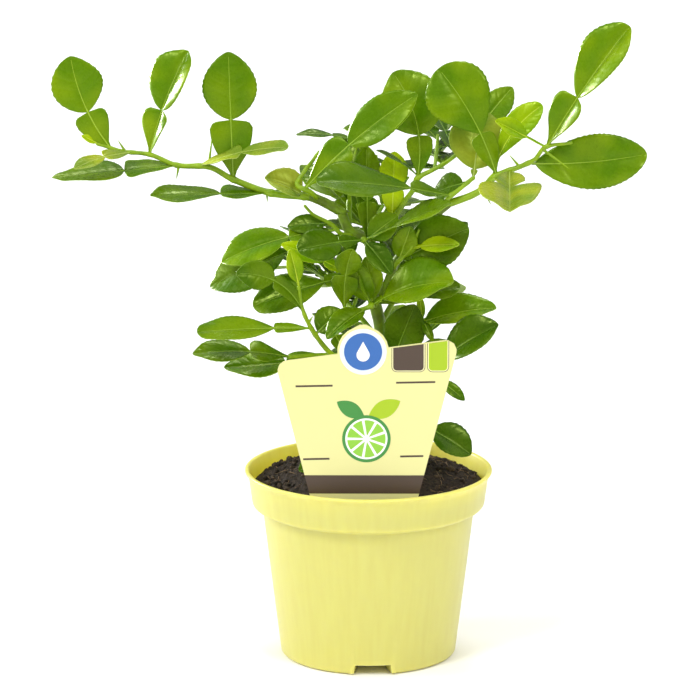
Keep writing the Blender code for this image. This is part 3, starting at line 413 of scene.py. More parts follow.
CENTRE_MASSES = (
    mass(
        "centre_foliage",
        "trunk",
        0.817,
        ((-0.5, -6, 205.5), (-2.5, -11, 207.3)),
        (1.3, 1.0),
        leaves=(
            leaf(0.55, 91, 17, 46, tilt=12, broad=0.55, fold=25, curl=10, tone="green"),
            leaf(1.0, 180.5, -35, 38, tilt=32, broad=0.76, wing=0.4, winged=0.65, blunt=0.5, tone="dark"),
            leaf(
                0.95, 27, -19, 49, tilt=66, broad=0.45, wing=0.3, winged=0.45, curl=6, fold=20, peak=0.6,
                tone="green",
            ),
            leaf(1.0, 312, -25, 22, tilt=45, broad=0.6, wing=0.12, fold=25, tone="dark"),
            leaf(0.75, 40, -8, 20, tilt=30, broad=0.8, wing=0.12, tone="fresh"),
        ),
    ),
    mass(
        "front_foliage",
        "trunk",
        0.591,
        ((2, -5.5, 174.5), (0.5, -9.5, 174.3), (-5, -11, 173), (-11.6, -9.5, 173.5)),
        (1.4, 0.9),
        leaves=(
            leaf(
                0.4, 22, -24, 46, tilt=52, broad=0.72, wing=0.16, curl=30, sway=-14, fold=26, peak=0.56,
                tone="fresh",
            ),
            leaf(0.3, 13, -4, 43, tilt=45, broad=0.5, peak=0.62, blunt=0.5, tone="green"),
            leaf(0.45, 211, -33, 29, tilt=70, broad=0.55, wing=0.15, fold=28, tone="green"),
            leaf(0.4, 112, -8, 26, tilt=15, pan=-20, broad=0.6, wing=0.12, fold=20, tone="green"),
            leaf(0.35, 98, -2, 24, tilt=15, pan=25, broad=0.6, wing=0.12, fold=20, tone="bright"),
            leaf(1.0, 83, -18, 33, tilt=2, broad=0.85, wing=0.53, sway=-20, curl=-10, fold=8, tone="green"),
        ),
    ),
    mass(
        "centre_upper_foliage",
        "trunk",
        0.924,
        ((-9.5, 8, 219), (-8.5, 13, 233), (-5, 20, 252)),
        (1.4, 0.8),
        leaves=(
            leaf(0.95, 173, -8, 30, tilt=78, broad=0.5, tone="dark"),
            leaf(0.3, 98, 26, 34, tilt=5, broad=0.7, wing=0.25, fold=20, tone="dark"),
        ),
        space=((2, 36, 238), (36, 30, 28)),
        twigs=2,
        more=4,
        seed=11,
    ),
    mass(
        "top_foliage",
        "leader_bough",
        1.0,
        (
            (18, -3, 225.5),
            (21.4, -3, 230.5),
            (23, -3, 235.5),
            (30, -0.5, 239),
            (38, 5, 242.5),
            (44.7, 12, 246.6),
        ),
        (1.5, 0.8),
        leaves=(
            leaf(0.03, 88, 8, 33, tilt=0, broad=0.8, wing=0.47, fold=6, tone="young"),
            leaf(
                0.47, 103.5, 14, 52, tilt=5, broad=0.98, wing=0.38, winged=0.75, sway=50, fold=16,
                tone="fresh",
            ),
            leaf(0.49, 146, -10, 25, tilt=80, broad=0.5, tone="dark"),
            leaf(0.97, 48, 25, 42, tilt=20, broad=0.58, tone="fresh"),
        ),
        space=((40, 36, 250), (36, 30, 30)),
        twigs=2,
        more=4,
        seed=5,
    ),
)

RIGHT_MASSES = (
    mass(
        "right_centre_foliage",
        "upper_right_bough",
        0.9,
        ((37.5, -9, 227), (42, -8.5, 230.5), (49.8, -6, 236.5)),
        (1.3, 0.9),
        leaves=(
            leaf(
                0.42, 170, -18, 68, tilt=62, broad=0.54, wing=0.32, sway=-14, fold=18, peak=0.62, blunt=0.5,
                tone="deep",
            ),
            leaf(1.0, 82, 30, 35, tilt=20, broad=0.92, wing=0.12, tone="pale"),
            leaf(0.85, 204, 28, 20, tilt=45, broad=0.9, wing=0.12, tone="dark"),
        ),
    ),
    mass(
        "right_arm_foliage",
        "upper_right_bough",
        1.0,
        (
            (49, -6.5, 228.1),
            (54.4, -7, 231.5),
            (58.4, -7.5, 236.3),
            (63, -8, 239),
            (73.4, -9.5, 243.3),
            (79, -10.5, 246.5),
            (83.6, -12, 252.5),
            (96, -13, 254.8),
        ),
        (1.9, 0.7),
        leaves=(
            leaf(
                0.4, 118.5, 2, 58.5, tilt=15, broad=0.88, wing=0.38, winged=0.7, curl=40, sway=22,
                peak=0.62, blunt=0.55, tone="fresh",
            ),
            leaf(
                0.5, 262, -80, 54, tilt=83, broad=0.87, wing=0.36, curl=-12, fold=29, peak=0.44, blunt=0.5,
                tone="pale",
            ),
            leaf(
                0.64, 4, 3, 57, tilt=10, broad=0.5, wing=0.06, sway=14, curl=-10, peak=0.55, blunt=0.58,
                tone="fresh",
            ),
            leaf(
                0.83, 57, -4, 70, tilt=5, pan=-46, broad=0.58, wing=0.4, winged=1.25, fold=30, curl=15,
                peak=0.58, blunt=0.5, tone="bright",
            ),
            leaf(
                0.815, 150, -12, 28.5, tilt=40, broad=0.52, wing=0.38, winged=0.15, fold=35, curl=5,
                tone="young",
            ),
            leaf(
                0.37, 56, 4, 42, tilt=10, pan=-25, broad=0.44, wing=0.24, winged=0.15, sway=-42, peak=0.62,
                blunt=0.5, tone="young",
            ),
        ),
        thorns=((0.79, -35, -10, 17), (0.575, 130, 0, 8), (0.26, -60, -10, 9)),
    ),
    mass(
        "right_inner_foliage",
        "right_bough",
        0.8,
        ((14, -6, 195.5), (20, -9, 202.5), (24, -10, 212)),
        (1.2, 0.6),
        leaves=(
            leaf(0.35, 26, -4, 36.5, tilt=25, broad=0.85, wing=0.16, tone="deep"),
            leaf(0.3, 72, -10, 19, tilt=15, broad=0.75, wing=0.12, tone="bright"),
            leaf(0.65, 9, -22, 25, tilt=45, broad=0.45, wing=0.2, tone="young"),
        ),
    ),
    mass(
        "lower_right_foliage",
        "trunk",
        0.353,
        ((13, -3, 148), (21, -6, 158), (26, -7, 167)),
        (1.3, 0.8),
        leaves=(
            leaf(0.97, 13, -8, 37, tilt=58, broad=0.55, wing=0.05, fold=24, tone="bright"),
            leaf(0.25, 70, -12, 31, tilt=20, broad=0.76, wing=0.12, tone="dark"),
            leaf(1.0, 98, 0, 13, tilt=10, broad=0.35, wing=0.1, tone="young"),
            leaf(1.0, -62, -30, 12, tilt=20, broad=0.4, wing=0.1, curl=80, tone="green"),
        ),
    ),
    mass(
        "foot_right_foliage",
        "trunk",
        0.095,
        ((13, -5, 117), (19, -11, 125), (24, -15, 136), (26, -16, 145)),
        (1.2, 0.8),
        leaves=(
            leaf(0.42, 331, -10, 38.5, tilt=46, broad=0.78, fold=24, tone="dark"),
            leaf(0.93, 38, -16, 48, tilt=50, broad=0.64, wing=0.3, fold=26, peak=0.55, tone="dark"),
            leaf(1.0, 325, -12, 25, tilt=40, broad=0.45, curl=40, tone="deep"),
        ),
    ),
)

BACK_MASSES = (
    mass(
        "back_high_foliage",
        "trunk",
        0.741,
        ((3, 9, 195), (0, 20, 204), (-4, 32, 212)),
        (1.5, 0.8),
        space=((-6, 46, 208), (50, 42, 32)),
        twigs=3,
        more=7,
        seed=21,
    ),
    mass(
        "back_right_foliage",
        "trunk",
        0.515,
        ((12, 12, 172), (23, 26, 182), (32, 38, 192)),
        (1.5, 0.8),
        space=((30, 46, 184), (44, 42, 34)),
        twigs=3,
        more=7,
        seed=32,
    ),
    mass(
        "back_left_foliage",
        "trunk",
        0.44,
        ((-4, 13, 164), (-14, 28, 172), (-20, 42, 180)),
        (1.5, 0.8),
        space=((-24, 46, 174), (48, 44, 34)),
        twigs=3,
        more=7,
        seed=34,
    ),
    mass(
        "back_low_foliage",
        "trunk",
        0.192,
        ((9, 12, 128), (10, 27, 136), (10, 42, 146)),
        (1.4, 0.8),
        space=((8, 44, 138), (48, 42, 34)),
        twigs=3,
        more=7,
        seed=24,
    ),
)

MASSES = (*LEFT_MASSES, *CENTRE_MASSES, *RIGHT_MASSES, *BACK_MASSES)


class Path:
    """A smooth curve through a few points, read by its share of length."""

    STEPS = 12

    def __init__(self, points, radii):
        self.points = self.smooth([Vector(p) for p in points])
        self.radii = radii
        self.lengths = [0.0]
        for a, b in zip(self.points, self.points[1:]):
            self.lengths.append(self.lengths[-1] + (b - a).length)
        self.length = self.lengths[-1]

    def smooth(self, points):
        """Centripetal Catmull-Rom through the points, with its ends carried on straight."""
        run = [2 * points[0] - points[1], *points, 2 * points[-1] - points[-2]]
        out = []
        for p0, p1, p2, p3 in zip(run, run[1:], run[2:], run[3:]):
            t1 = (p1 - p0).length ** 0.5
            t2 = t1 + (p2 - p1).length ** 0.5
            t3 = t2 + (p3 - p2).length ** 0.5
            for i in range(self.STEPS):
                t = t1 + (t2 - t1) * i / self.STEPS
                a1 = p0.lerp(p1, t / t1)
                a2 = p1.lerp(p2, (t - t1) / (t2 - t1))
                a3 = p2.lerp(p3, (t - t2) / (t3 - t2))
                b1 = a1.lerp(a2, t / t2)
                b2 = a2.lerp(a3, (t - t1) / (t3 - t1))
                out.append(b1.lerp(b2, (t - t1) / (t2 - t1)))
        return [*out, points[-1]]

    def radius(self, share):
        return self.radii[0] + (self.radii[1] - self.radii[0]) * share

    def at(self, share):
        """The point, direction and radius at a share of the length."""
        want = min(max(share, 0.0), 1.0) * self.length
        i = 0
        while i < len(self.lengths) - 2 and self.lengths[i + 1] < want:
            i += 1
        span = self.lengths[i + 1] - self.lengths[i]
        point = self.points[i].lerp(self.points[i + 1], (want - self.lengths[i]) / span)
        return point, (self.points[i + 1] - self.points[i]).normalized(), self.radius(share)


def ring(centre, ahead, radius, sides):
    """Points round a stem, with the first one on the same side all along."""
    side = (ACROSS - ahead * ACROSS.dot(ahead)).normalized()
    over = ahead.cross(side)
    turns = [math.tau * k / sides for k in range(sides)]
    return [centre + radius * (side * math.cos(a) + over * math.sin(a)) for a in turns]


def tube(path, start=0.0, sides=STEM_SIDES, flare=0.0, foot=None):
    """A closed tapering stem along the path, from a share of its length to its end."""
    count = max(2, round(path.length * (1.0 - start) / STEM_STEP))
    vertices = []
    for k in range(count + 1):
        share = start + (1.0 - start) * k / count
        centre, ahead, radius = path.at(share)
        if k == 0 and foot:
            ahead = foot
        vertices += ring(centre, ahead, radius + flare * math.exp(-share * path.length / STEM_STEP), sides)
    faces = []
    for k in range(count):
        for i in range(sides):
            a, b = k * sides + i, k * sides + (i + 1) % sides
            faces.append((a, b, b + sides, a + sides))
    top = count * sides
    faces += [tuple(reversed(range(sides))), tuple(range(top, top + sides))]
    return vertices, faces


def tree_of(shape):
    return BVHTree.FromPolygons([tuple(v) for v in shape[0]], shape[1])


def outside(tree, place):
    """How far a place lies outside a solid's skin, less than 0 inside it."""
    nearest, normal, _, distance = tree.find_nearest(place)
    return distance if (place - nearest).dot(normal) > 0 else -distance


def clear_start(path, limb):
    """The share of a side shoot's path at which its flat end is just clear of the limb's skin."""
    skin = tree_of(limb.solid())
    share = 0.0
    while share < 0.9:
        centre, ahead, radius = path.at(share)
        if min(outside(skin, p) for p in (centre, *ring(centre, ahead, radius, STEM_SIDES))) >= GAP:
            return share
        share += 0.1 / path.length
    raise ValueError("a shoot never leaves its limb")


class Shoot:
    """A stem on its limb: its path, the share where it starts clear of the limb, and how its foot faces."""

    def __init__(self, path, start, foot, flare=0.0):
        self.path = path
        self.start = start
        self.foot = foot
        self.flare = flare

    def solid(self):
        return tube(self.path, self.start, flare=self.flare, foot=self.foot)


def branch(limb, at, points, radii):
    place, ahead, _ = limb.path.at(at)
    if at >= 1.0:
        return Shoot(Path([place + ahead * GAP, *points], radii), 0.0, ahead)
    path = Path([place, *points], radii)
    start = clear_start(path, limb)
    return Shoot(path, start, path.at(start)[1])


def blade_width(shape, t):
    """Half width of a blade from its foot (0) to its tip (1), against its widest."""
    if not 0.0 < t < 1.0:
        return 0.0
    return math.sin(math.pi * t ** (math.log(0.5) / math.log(shape["peak"]))) ** shape["blunt"]


def wing_width(u):
    """Half width of the stalk's wing from the stem (0) to the joint (1), against its widest."""
    if u < 0.8:
        return math.sin(math.pi / 2 * u / 0.8) ** 1.3
    return (1.0 - ((u - 0.8) / 0.2) ** 3) ** (1 / 3)


def bow(bend, s):
    """A bowed line over a chord of length 1: how far along it, how far off it, and the angle there."""
    if abs(bend) < 1e-4:
        return s, 0.0, 0.0
    chord = 2.0 * math.sin(bend / 2.0)
    angle = bend * (0.5 - s)
    return (
        (math.sin(bend / 2.0) - math.sin(angle)) / chord,
        (math.cos(angle) - math.cos(bend / 2.0)) / chord,
        angle,
    )


def leaf_frame(shape, root, s):
    """The midrib's place at a share of the leaf, with its side and face directions there."""
    along = shape["along"]
    side = along.cross(shape["look"]).normalized()
    face = side.cross(along)
    forward, rise, pitch = bow(shape["curl"], s)
    _, off, yaw = bow(shape["sway"], s)
    centre = root + shape["size"] * (along * forward + face * rise + side * off)
    heading = along * math.cos(pitch) + face * math.sin(pitch)
    normal = face * math.cos(pitch) - along * math.sin(pitch)
    return centre, side * math.cos(yaw) - heading * math.sin(yaw), normal


def leaf_rows(shape):
    """Stations along a leaf as (share of its length, half width)."""
    size, wing = shape["size"], shape["wing"]
    wing_half = 0.5 * shape["broad"] * shape["winged"] * WING_BREADTH * size * wing
    blade_half = 0.5 * shape["broad"] * size * (1.0 - wing)
    rows = [(0.0, STALK_HALF_WIDTH)]
    rows += [(u * wing, max(STALK_HALF_WIDTH, wing_half * wing_width(u))) for u in WING_ROWS]
    rows += [(wing, STALK_HALF_WIDTH)]
    rows += [(wing + t * (1.0 - wing), blade_half * blade_width(shape, t)) for t in BLADE_ROWS]
    return rows


def leaf_mesh(shape, root, grow=0.0, start=0.0):
    """A thin closed leaf with a lens section: a left edge, a right edge, and a midrib above and below."""
    vertices = []
    for s, half in leaf_rows(shape):
        if s < start:
            continue
        centre, side, normal = leaf_frame(shape, root, s)
        lift = normal * (half * shape["fold"])
        thick = normal * (LEAF_THICKNESS / 2.0 + grow)
        reach = side * (half + grow)
        vertices += [centre - reach + lift, centre + thick, centre + reach + lift, centre - thick]
    vertices.append(root + shape["along"] * (shape["size"] + grow))
    last = len(vertices) - 1
    faces = [(3, 2, 1, 0)]
    for a in range(0, last - 4, 4):
        for i, j in ((0, 1), (1, 2), (2, 3), (3, 0)):
            faces.append((a + i, a + j, a + 4 + j, a + 4 + i))
    faces += [(last - 4 + i, last - 4 + (i + 1) % 4, last) for i in range(4)]
    return vertices, faces


def thorn_mesh(root, along, length):
    """A slim spine that ends in a point."""
    base = ring(root, along, THORN_RADIUS, THORN_SIDES)
    sides = [(i, (i + 1) % THORN_SIDES, THORN_SIDES) for i in range(THORN_SIDES)]
    return [*base, root + along * length], [tuple(reversed(range(THORN_SIDES))), *sides]


class Crowd:
    """What is already in place, to keep seeded twigs and leaves clear of it."""

    def __init__(self):
        self.items = []

    def add(self, shape):
        low = [min(v[i] for v in shape[0]) for i in range(3)]
        high = [max(v[i] for v in shape[0]) for i in range(3)]
        self.items.append((low, high, tree_of(shape)))

    def touches(self, shape):
        low = [min(v[i] for v in shape[0]) for i in range(3)]
        high = [max(v[i] for v in shape[0]) for i in range(3)]
        tree = tree_of(shape)
        for other_low, other_high, other in self.items:
            apart = any(low[i] > other_high[i] or high[i] < other_low[i] for i in range(3))
            if not apart and tree.overlap(other):
                return True
        return False


def inside(space, shape):
    """Whether every point of a shape lies in an ellipsoid given by its centre and its three radii."""
    centre, radii = space
    return all(sum(((v[i] - centre[i]) / radii[i]) ** 2 for i in range(3)) <= 1.0 for v in shape[0])


def in_the_sky(shape):
    """Whether a shape, seen from the front, shows where the sky does."""
    vertices, faces = shape
    places = [sum((vertices[i] for i in face), Vector()) / len(face) for face in faces]
    for place in (*vertices, *places):
        across = VIEW_POINT + (place - VIEW_POINT) * (VIEW_POINT.y / (VIEW_POINT.y - place.y))
        if any(math.hypot(across.x - x, across.z - z) < radius for x, z, radius in SKY):
            return True
    return False


def room_for(shape, space, crowd):
    return inside(space, shape) and not in_the_sky(shape) and not crowd.touches(shape)


def sprout(path, share, turn, angle):
    """The root and direction of what grows from a shoot at a share of its length, turned round it."""
    root, ahead, _ = path.at(share)
    side = (ACROSS - ahead * ACROSS.dot(ahead)).normalized()
    over = ahead.cross(side)
    out = side * math.cos(math.radians(turn)) + over * math.sin(math.radians(turn))
    along = ahead * math.cos(math.radians(angle)) + out * math.sin(math.radians(angle))
    return root, (along + Vector((0, 0, RISE_TO_LIGHT))).normalized()


def seeded_leaf(rng, along, share):
    """A leaf of the usual shape that holds its face to the light and a little outward."""
    turned = [LOOK_SPREAD * (c + rng.uniform(-LOOK_STRAY, LOOK_STRAY)) for c in along.xy]
    return {
        "at": share,
        "along": along,
        "look": Vector((*turned, 1.0)).normalized(),
        "size": rng.uniform(*LEAF_SIZE),
        "broad": rng.uniform(*LEAF_BREADTH),
        "wing": WING_SHARE,
        "winged": 1.0,
        "curl": math.radians(rng.uniform(*LEAF_CURL)),
        "sway": math.radians(rng.uniform(*LEAF_SWAY)),
        "fold": math.tan(math.radians(rng.uniform(*LEAF_FOLD))),
        "peak": BLADE_PEAK,
        "blunt": BLADE_BLUNT,
    }


def grow_leaves(rng, path, first, count, space, crowd):
    """Seeded leaves round a shoot; one that has no room is turned on or skipped."""
    grown = []
    turn = rng.uniform(0, 360)
    for k in range(count):
        share = first + (1.0 - first) * (k + 0.5) / count
        for _ in range(LEAF_TRIES):
            turn += TURN
            root, along = sprout(path, share, turn, LEAF_ANGLE)
            shape = seeded_leaf(rng, along, share)
            test = leaf_mesh(shape, root, grow=GAP, start=CLEAR_SHARE)
            if room_for(test, space, crowd):
                crowd.add(leaf_mesh(shape, root))
                grown.append((path, shape))
                break
    return grown


def grow_twigs(rng, stem, plan, crowd):
    """Seeded twigs on a mass's stem, each with its own leaves."""
    twigs, grown = [], []
    turn = rng.uniform(0, 360)
    first, last = TWIG_STATIONS
    for k in range(plan["twigs"]):
        share = stem.start + (1.0 - stem.start) * (first + (last - first) * k / plan["twigs"])
        length = rng.uniform(*TWIG_LENGTH)
        for _ in range(TWIG_TRIES):
            turn += TURN
            root, along = sprout(stem.path, share, turn, TWIG_ANGLE)
            middle = root + along * length * 0.5
            tip = middle + (along + Vector((0, 0, RISE_TO_LIGHT))).normalized() * length * 0.5
            test = tube(Path([middle, tip], TWIG_RADII), sides=TWIG_SIDES)
            if room_for(test, plan["space"], crowd):
                twig = Path([root, middle, tip], TWIG_RADII)
                crowd.add(tube(twig, sides=TWIG_SIDES))
                twigs.append(twig)
                count = max(2, round(length / LEAF_SPACING) + 1)
                grown += grow_leaves(rng, twig, FIRST_LEAF, count, plan["space"], crowd)
                break
    return twigs, grown


def plan_plant():
    """Every limb, stem, twig and leaf of the plant, in the order in which they grow."""
    trunk = Path(TRUNK, TRUNK_RADII)
    limbs = {"trunk": Shoot(trunk, 0.0, Vector((0, 0, 1)), TRUNK_FLARE)}
    for name, limb, at, points, radii in BOUGHS:
        limbs[name] = branch(limbs[limb], at, points, radii)
    crowd = Crowd()
    for shoot in limbs.values():
        crowd.add(shoot.solid())
    plants = []
    for plan in MASSES:
        stem = branch(limbs[plan["limb"]], plan["at"], plan["stem"], plan["radii"])
        crowd.add(stem.solid())
        leaves = [(stem.path, shape) for shape in plan["leaves"]]
        for _, shape in leaves:
            crowd.add(leaf_mesh(shape, stem.path.at(shape["at"])[0]))
        plants.append({"plan": plan, "stem": stem, "twigs": [], "leaves": leaves})
    for plant in plants:
        plan, stem = plant["plan"], plant["stem"]
        if not plan["space"]:
            continue
        rng = random.Random(plan["seed"])
        plant["twigs"], grown = grow_twigs(rng, stem, plan, crowd)
        grown += grow_leaves(rng, stem.path, stem.start + FIRST_LEAF, plan["more"], plan["space"], crowd)
        plant["leaves"] += grown
    return limbs, plants


def prism(foot, top, low, high):
    """The points and faces of an upright prism; foot and top run anticlockwise, point for point."""
    count = len(foot)
    vertices = [(x, y, low) for x, y in foot] + [(x, y, high) for x, y in top]
    sides = [(i, (i + 1) % count, count + (i + 1) % count, count + i) for i in range(count)]
    return vertices, [*sides, tuple(reversed(range(count))), tuple(range(count, 2 * count))]


def pot_profile():
    """The pot's section from the middle of its underside, up its outer side and down its inner side."""
    lip_foot = POT_HEIGHT - LIP_HEIGHT
    outer = [
        (0.0, 0.0),
        (BASE_RADIUS - BASE_ROUND, 0.0),
        (BASE_RADIUS, BASE_ROUND),
        (BODY_TOP_RADIUS, BODY_TOP_HEIGHT),
        (BAND_FOOT_RADIUS - BAND_ROUND, BAND_FOOT_HEIGHT),
        (BAND_FOOT_RADIUS, BAND_FOOT_HEIGHT + BAND_ROUND),
        (BAND_TOP_RADIUS, BAND_TOP_HEIGHT),
        (LIP_RADIUS - LIP_ROUND, lip_foot),
        (LIP_RADIUS, lip_foot + LIP_ROUND),
        (LIP_RADIUS, POT_HEIGHT - LIP_ROUND),
        (LIP_RADIUS - LIP_ROUND, POT_HEIGHT),
    ]
    inner = [
        (LIP_RADIUS - LIP_WIDTH + LIP_ROUND, POT_HEIGHT),
        (LIP_RADIUS - LIP_WIDTH, POT_HEIGHT - LIP_ROUND),
        (BAND_TOP_RADIUS - POT_WALL, BAND_TOP_HEIGHT),
        (BAND_FOOT_RADIUS - POT_WALL, BAND_FOOT_HEIGHT + POT_WALL),
        (BODY_TOP_RADIUS - POT_WALL, BODY_TOP_HEIGHT + POT_WALL),
        (BASE_RADIUS - POT_WALL, POT_WALL + BASE_ROUND),
        (BASE_RADIUS - POT_WALL - BASE_ROUND, POT_WALL),
        (0.0, POT_WALL),
    ]
    return outer, inner


def channel(angle, spread, low, high, inner, outer):
    """A drainage channel under the pot, as a wedge along a radius that is wider at its foot."""
    a = math.radians(angle)
    share = (outer - inner) / (BASE_RADIUS - CHANNEL_INNER_RADIUS)
    narrow = CHANNEL_INNER_WIDTH / 2 + spread
    wide = narrow + (CHANNEL_FOOT_WIDTH - CHANNEL_INNER_WIDTH) / 2 * share
    slim = (CHANNEL_FOOT_WIDTH - CHANNEL_TOP_WIDTH) / 2
    plan = [(inner, -narrow), (outer, -wide), (outer, wide), (inner, narrow)]
    narrower, less_wide = narrow - slim, wide - slim
    past = inner + slim
    drawn_in = [(past, -narrower), (outer, -less_wide), (outer, less_wide), (past, narrower)]

    def on_pot(shape):
        return [(r * math.cos(a) - w * math.sin(a), r * math.sin(a) + w * math.cos(a)) for r, w in shape]

    return prism(on_pot(plan), on_pot(drawn_in), low, high)


def channel_turns():
    return [CHANNEL_TURN + 360.0 * k / CHANNELS for k in range(CHANNELS)]


def linear(code):
    """A colour from its sRGB hex value, as the shaders take it."""
    out = []
    for k in (1, 3, 5):
        c = int(code[k : k + 2], 16) / 255.0
        out.append(c / 12.92 if c <= 0.04045 else ((c + 0.055) / 1.055) ** 2.4)
    return tuple(out)


def new_material(name, colour, roughness, **sockets):
    """A material whose Principled shader carries these plain values on its own sockets."""
    material = bpy.data.materials.new(name)
    material.use_nodes = True
    shader = material.node_tree.nodes["Principled BSDF"]
    shader.inputs["Base Color"].default_value = (*colour, 1.0)
    shader.inputs["Roughness"].default_value = roughness
    for socket, value in sockets.items():
        shader.inputs[socket.replace("_", " ")].default_value = value
    return material


def add_node(material, kind, settings=(), values=(), links=()):
    """Adds a node with its settings and socket values, and links (socket, node, output) into it."""
    made = material.node_tree.nodes.new(kind)
    for name, value in dict(settings).items():
        setattr(made, name, value)
    for name, value in dict(values).items():
        made.inputs[name].default_value = value
    for name, source, output in links:
        material.node_tree.links.new(source.outputs[output], made.inputs[name])
    return made


def shader_of(material):
    return material.node_tree.nodes["Principled BSDF"]


def join_to(material, socket, source, output):
    material.node_tree.links.new(source.outputs[output], shader_of(material).inputs[socket])


def per_mm(spacing):
    """The scale of a pattern whose features lie this many millimetres apart, in object space."""
    return 1.0 / (spacing * MM)


class Mesher:
    """Gathers many small shapes, in millimetres, into one mesh with a material for each face."""

    def __init__(self, name, materials):
        self.name = name
        self.materials = materials
        self.vertices, self.faces, self.slots = [], [], []

    def add(self, vertices, faces, slots):
        first = len(self.vertices)
        self.vertices += [tuple(c * MM for c in v) for v in vertices]
        self.faces += [tuple(first + i for i in face) for face in faces]
        self.slots += slots if isinstance(slots, list) else [slots] * len(faces)

    def finish(self, smooth=True):
        mesh = bpy.data.meshes.new(self.name)
        mesh.from_pydata(self.vertices, [], self.faces)
        for material in self.materials:
            mesh.materials.append(material)
        mesh.polygons.foreach_set("material_index", self.slots)
        mesh.polygons.foreach_set("use_smooth", [smooth] * len(self.faces))
        mesh.update()
        made = bpy.data.objects.new(self.name, mesh)
        bpy.context.scene.collection.objects.link(made)
        return made


# The pale tone is a painted sheen: a lighter, greyer green in place of light reflected off those leaves' faces.
TONES = ("young", "pale", "bright", "fresh", "green", "deep", "dark")
SEEDED_TONES = ("fresh", "green", "green", "deep", "dark")
LEAF_COLUMNS = 7  # to each side of the midrib
WING_FINE = 12
BLADE_FINE = 54
EDGE_TOOTH = 2.6  # millimetres from one tooth of the edge to the next
TOOTH_DEPTH = 0.03  # the share of the half breadth
VEIN_SPACING = 4.4
VEIN_SLANT = 0.22  # how far a side vein runs ahead by the edge, as a share of the blade
VEIN_DEPTH = 0.2
GROOVE_DEPTH = 0.34  # of the furrow over the midrib
BLISTER = 0.2  # height of the gentle swellings between the veins
BLISTER_SPACING = 6.0
CUPPING = 0.08  # how far each half bends down by its edge, as a share of its breadth
EDGE_WAVE = 0.02  # of the blade's length
SHEET = 0.32  # thickness of a leaf
FOOT_SINK = 1.6  # how far a stem or bough runs into what it grows from


def fine_rows(shape):
    """Stations along a leaf, as shares of its length at the render's finer step, and its half width at a share."""
    size, wing = shape["size"], shape["wing"]
    wing_half = 0.5 * shape["broad"] * shape["winged"] * WING_BREADTH * size * wing
    blade_half = 0.5 * shape["broad"] * size * (1.0 - wing)

    def half_width(s):
        if s < wing:
            return max(STALK_HALF_WIDTH, wing_half * wing_width(s / wing))
        return max(STALK_HALF_WIDTH if s < wing + 0.03 else 0.0, blade_half * blade_width(shape, (s - wing) / (1 - wing)))

    rows = [wing * k / WING_FINE for k in range(WING_FINE)]
    rows += [wing + (1 - wing) * k / BLADE_FINE for k in range(BLADE_FINE + 1)]
    return rows, half_width


def fine_leaf(mesher, shape, root, rng):
    """A thin double leaf: crenate edge, sunk midrib, slanted side veins, and a paler underside."""
    rows, half_width = fine_rows(shape)
    size, wing = shape["size"], shape["wing"]
    tone = 3 * TONES.index(shape.get("tone") or rng.choice(SEEDED_TONES))
    phase = rng.uniform(0, math.tau)
    wave = rng.uniform(0.6, 1.3)
    columns = range(-LEAF_COLUMNS, LEAF_COLUMNS + 1)
    top, under = [], []
    for s0 in rows:
        in_blade = s0 >= wing
        part = 1 - wing if in_blade else wing
        length = size * part
        t = (s0 - wing) / part if in_blade else s0 / wing
        room = math.sin(math.pi * t) * VEIN_SLANT * part
        for j in columns:
            w = j / LEAF_COLUMNS
            s = min(s0 + room * abs(w), 1.0)
            half = half_width(s)
            centre, side, normal = leaf_frame(shape, root, s)
            tooth = TOOTH_DEPTH * (0.5 + 0.5 * math.cos(math.tau * s * size / EDGE_TOOTH)) if abs(w) == 1.0 else 0.0
            x = w * half * (1.0 - tooth)
            full = min(1.0, half / 4.0)
            rise = abs(x) * shape["fold"] * (1.28 - 0.42 * abs(w)) - CUPPING * half * w * w
            along = s0 * size / VEIN_SPACING + (0.5 if w > 0 else 0.0)
            vein = -VEIN_DEPTH * (0.5 + 0.5 * math.cos(math.tau * along)) ** 6 * full * (1 - abs(w)) ** 0.5
            groove = -GROOVE_DEPTH * math.exp(-((x / 0.8) ** 2)) * min(1.0, half / 3.0)
            blister = BLISTER * full * noise.noise(Vector((x, s * size, 9.0 * phase)) / BLISTER_SPACING)
            ripple = EDGE_WAVE * length * wave * math.sin(phase + 9.0 * t + (1.7 if w > 0 else 0)) * w * w
            ripple *= min(1.0, half / 5.0)
            place = centre + side * x + normal * (rise + vein * abs(w) ** 0.3 + groove + blister + ripple)
            top.append(place + normal * SHEET / 2)
            under.append(place - normal * SHEET / 2)
    wide = 2 * LEAF_COLUMNS + 1
    count = len(rows)
    vertices = top + under
    faces, slots = [], []
    shift = len(top)
    for i in range(count - 1):
        for j in range(wide - 1):
            a = i * wide + j
            faces.append((a, a + 1, a + wide + 1, a + wide))
            slots.append(tone)
            b = a + shift
            faces.append((b, b + wide, b + wide + 1, b + 1))
            slots.append(tone + 2)
        # The rim faces along both edges take the pale midrib colour: a painted highlight along the leaf's edge.
        a = i * wide
        faces.append((a, a + wide, a + wide + shift, a + shift))
        slots.append(tone + 1)
        a += wide - 1
        faces.append((a, a + shift, a + wide + shift, a + wide))
        slots.append(tone + 1)
    mesher.add(vertices, faces, slots)
    ribbon(mesher, shape, root, tone + 1)


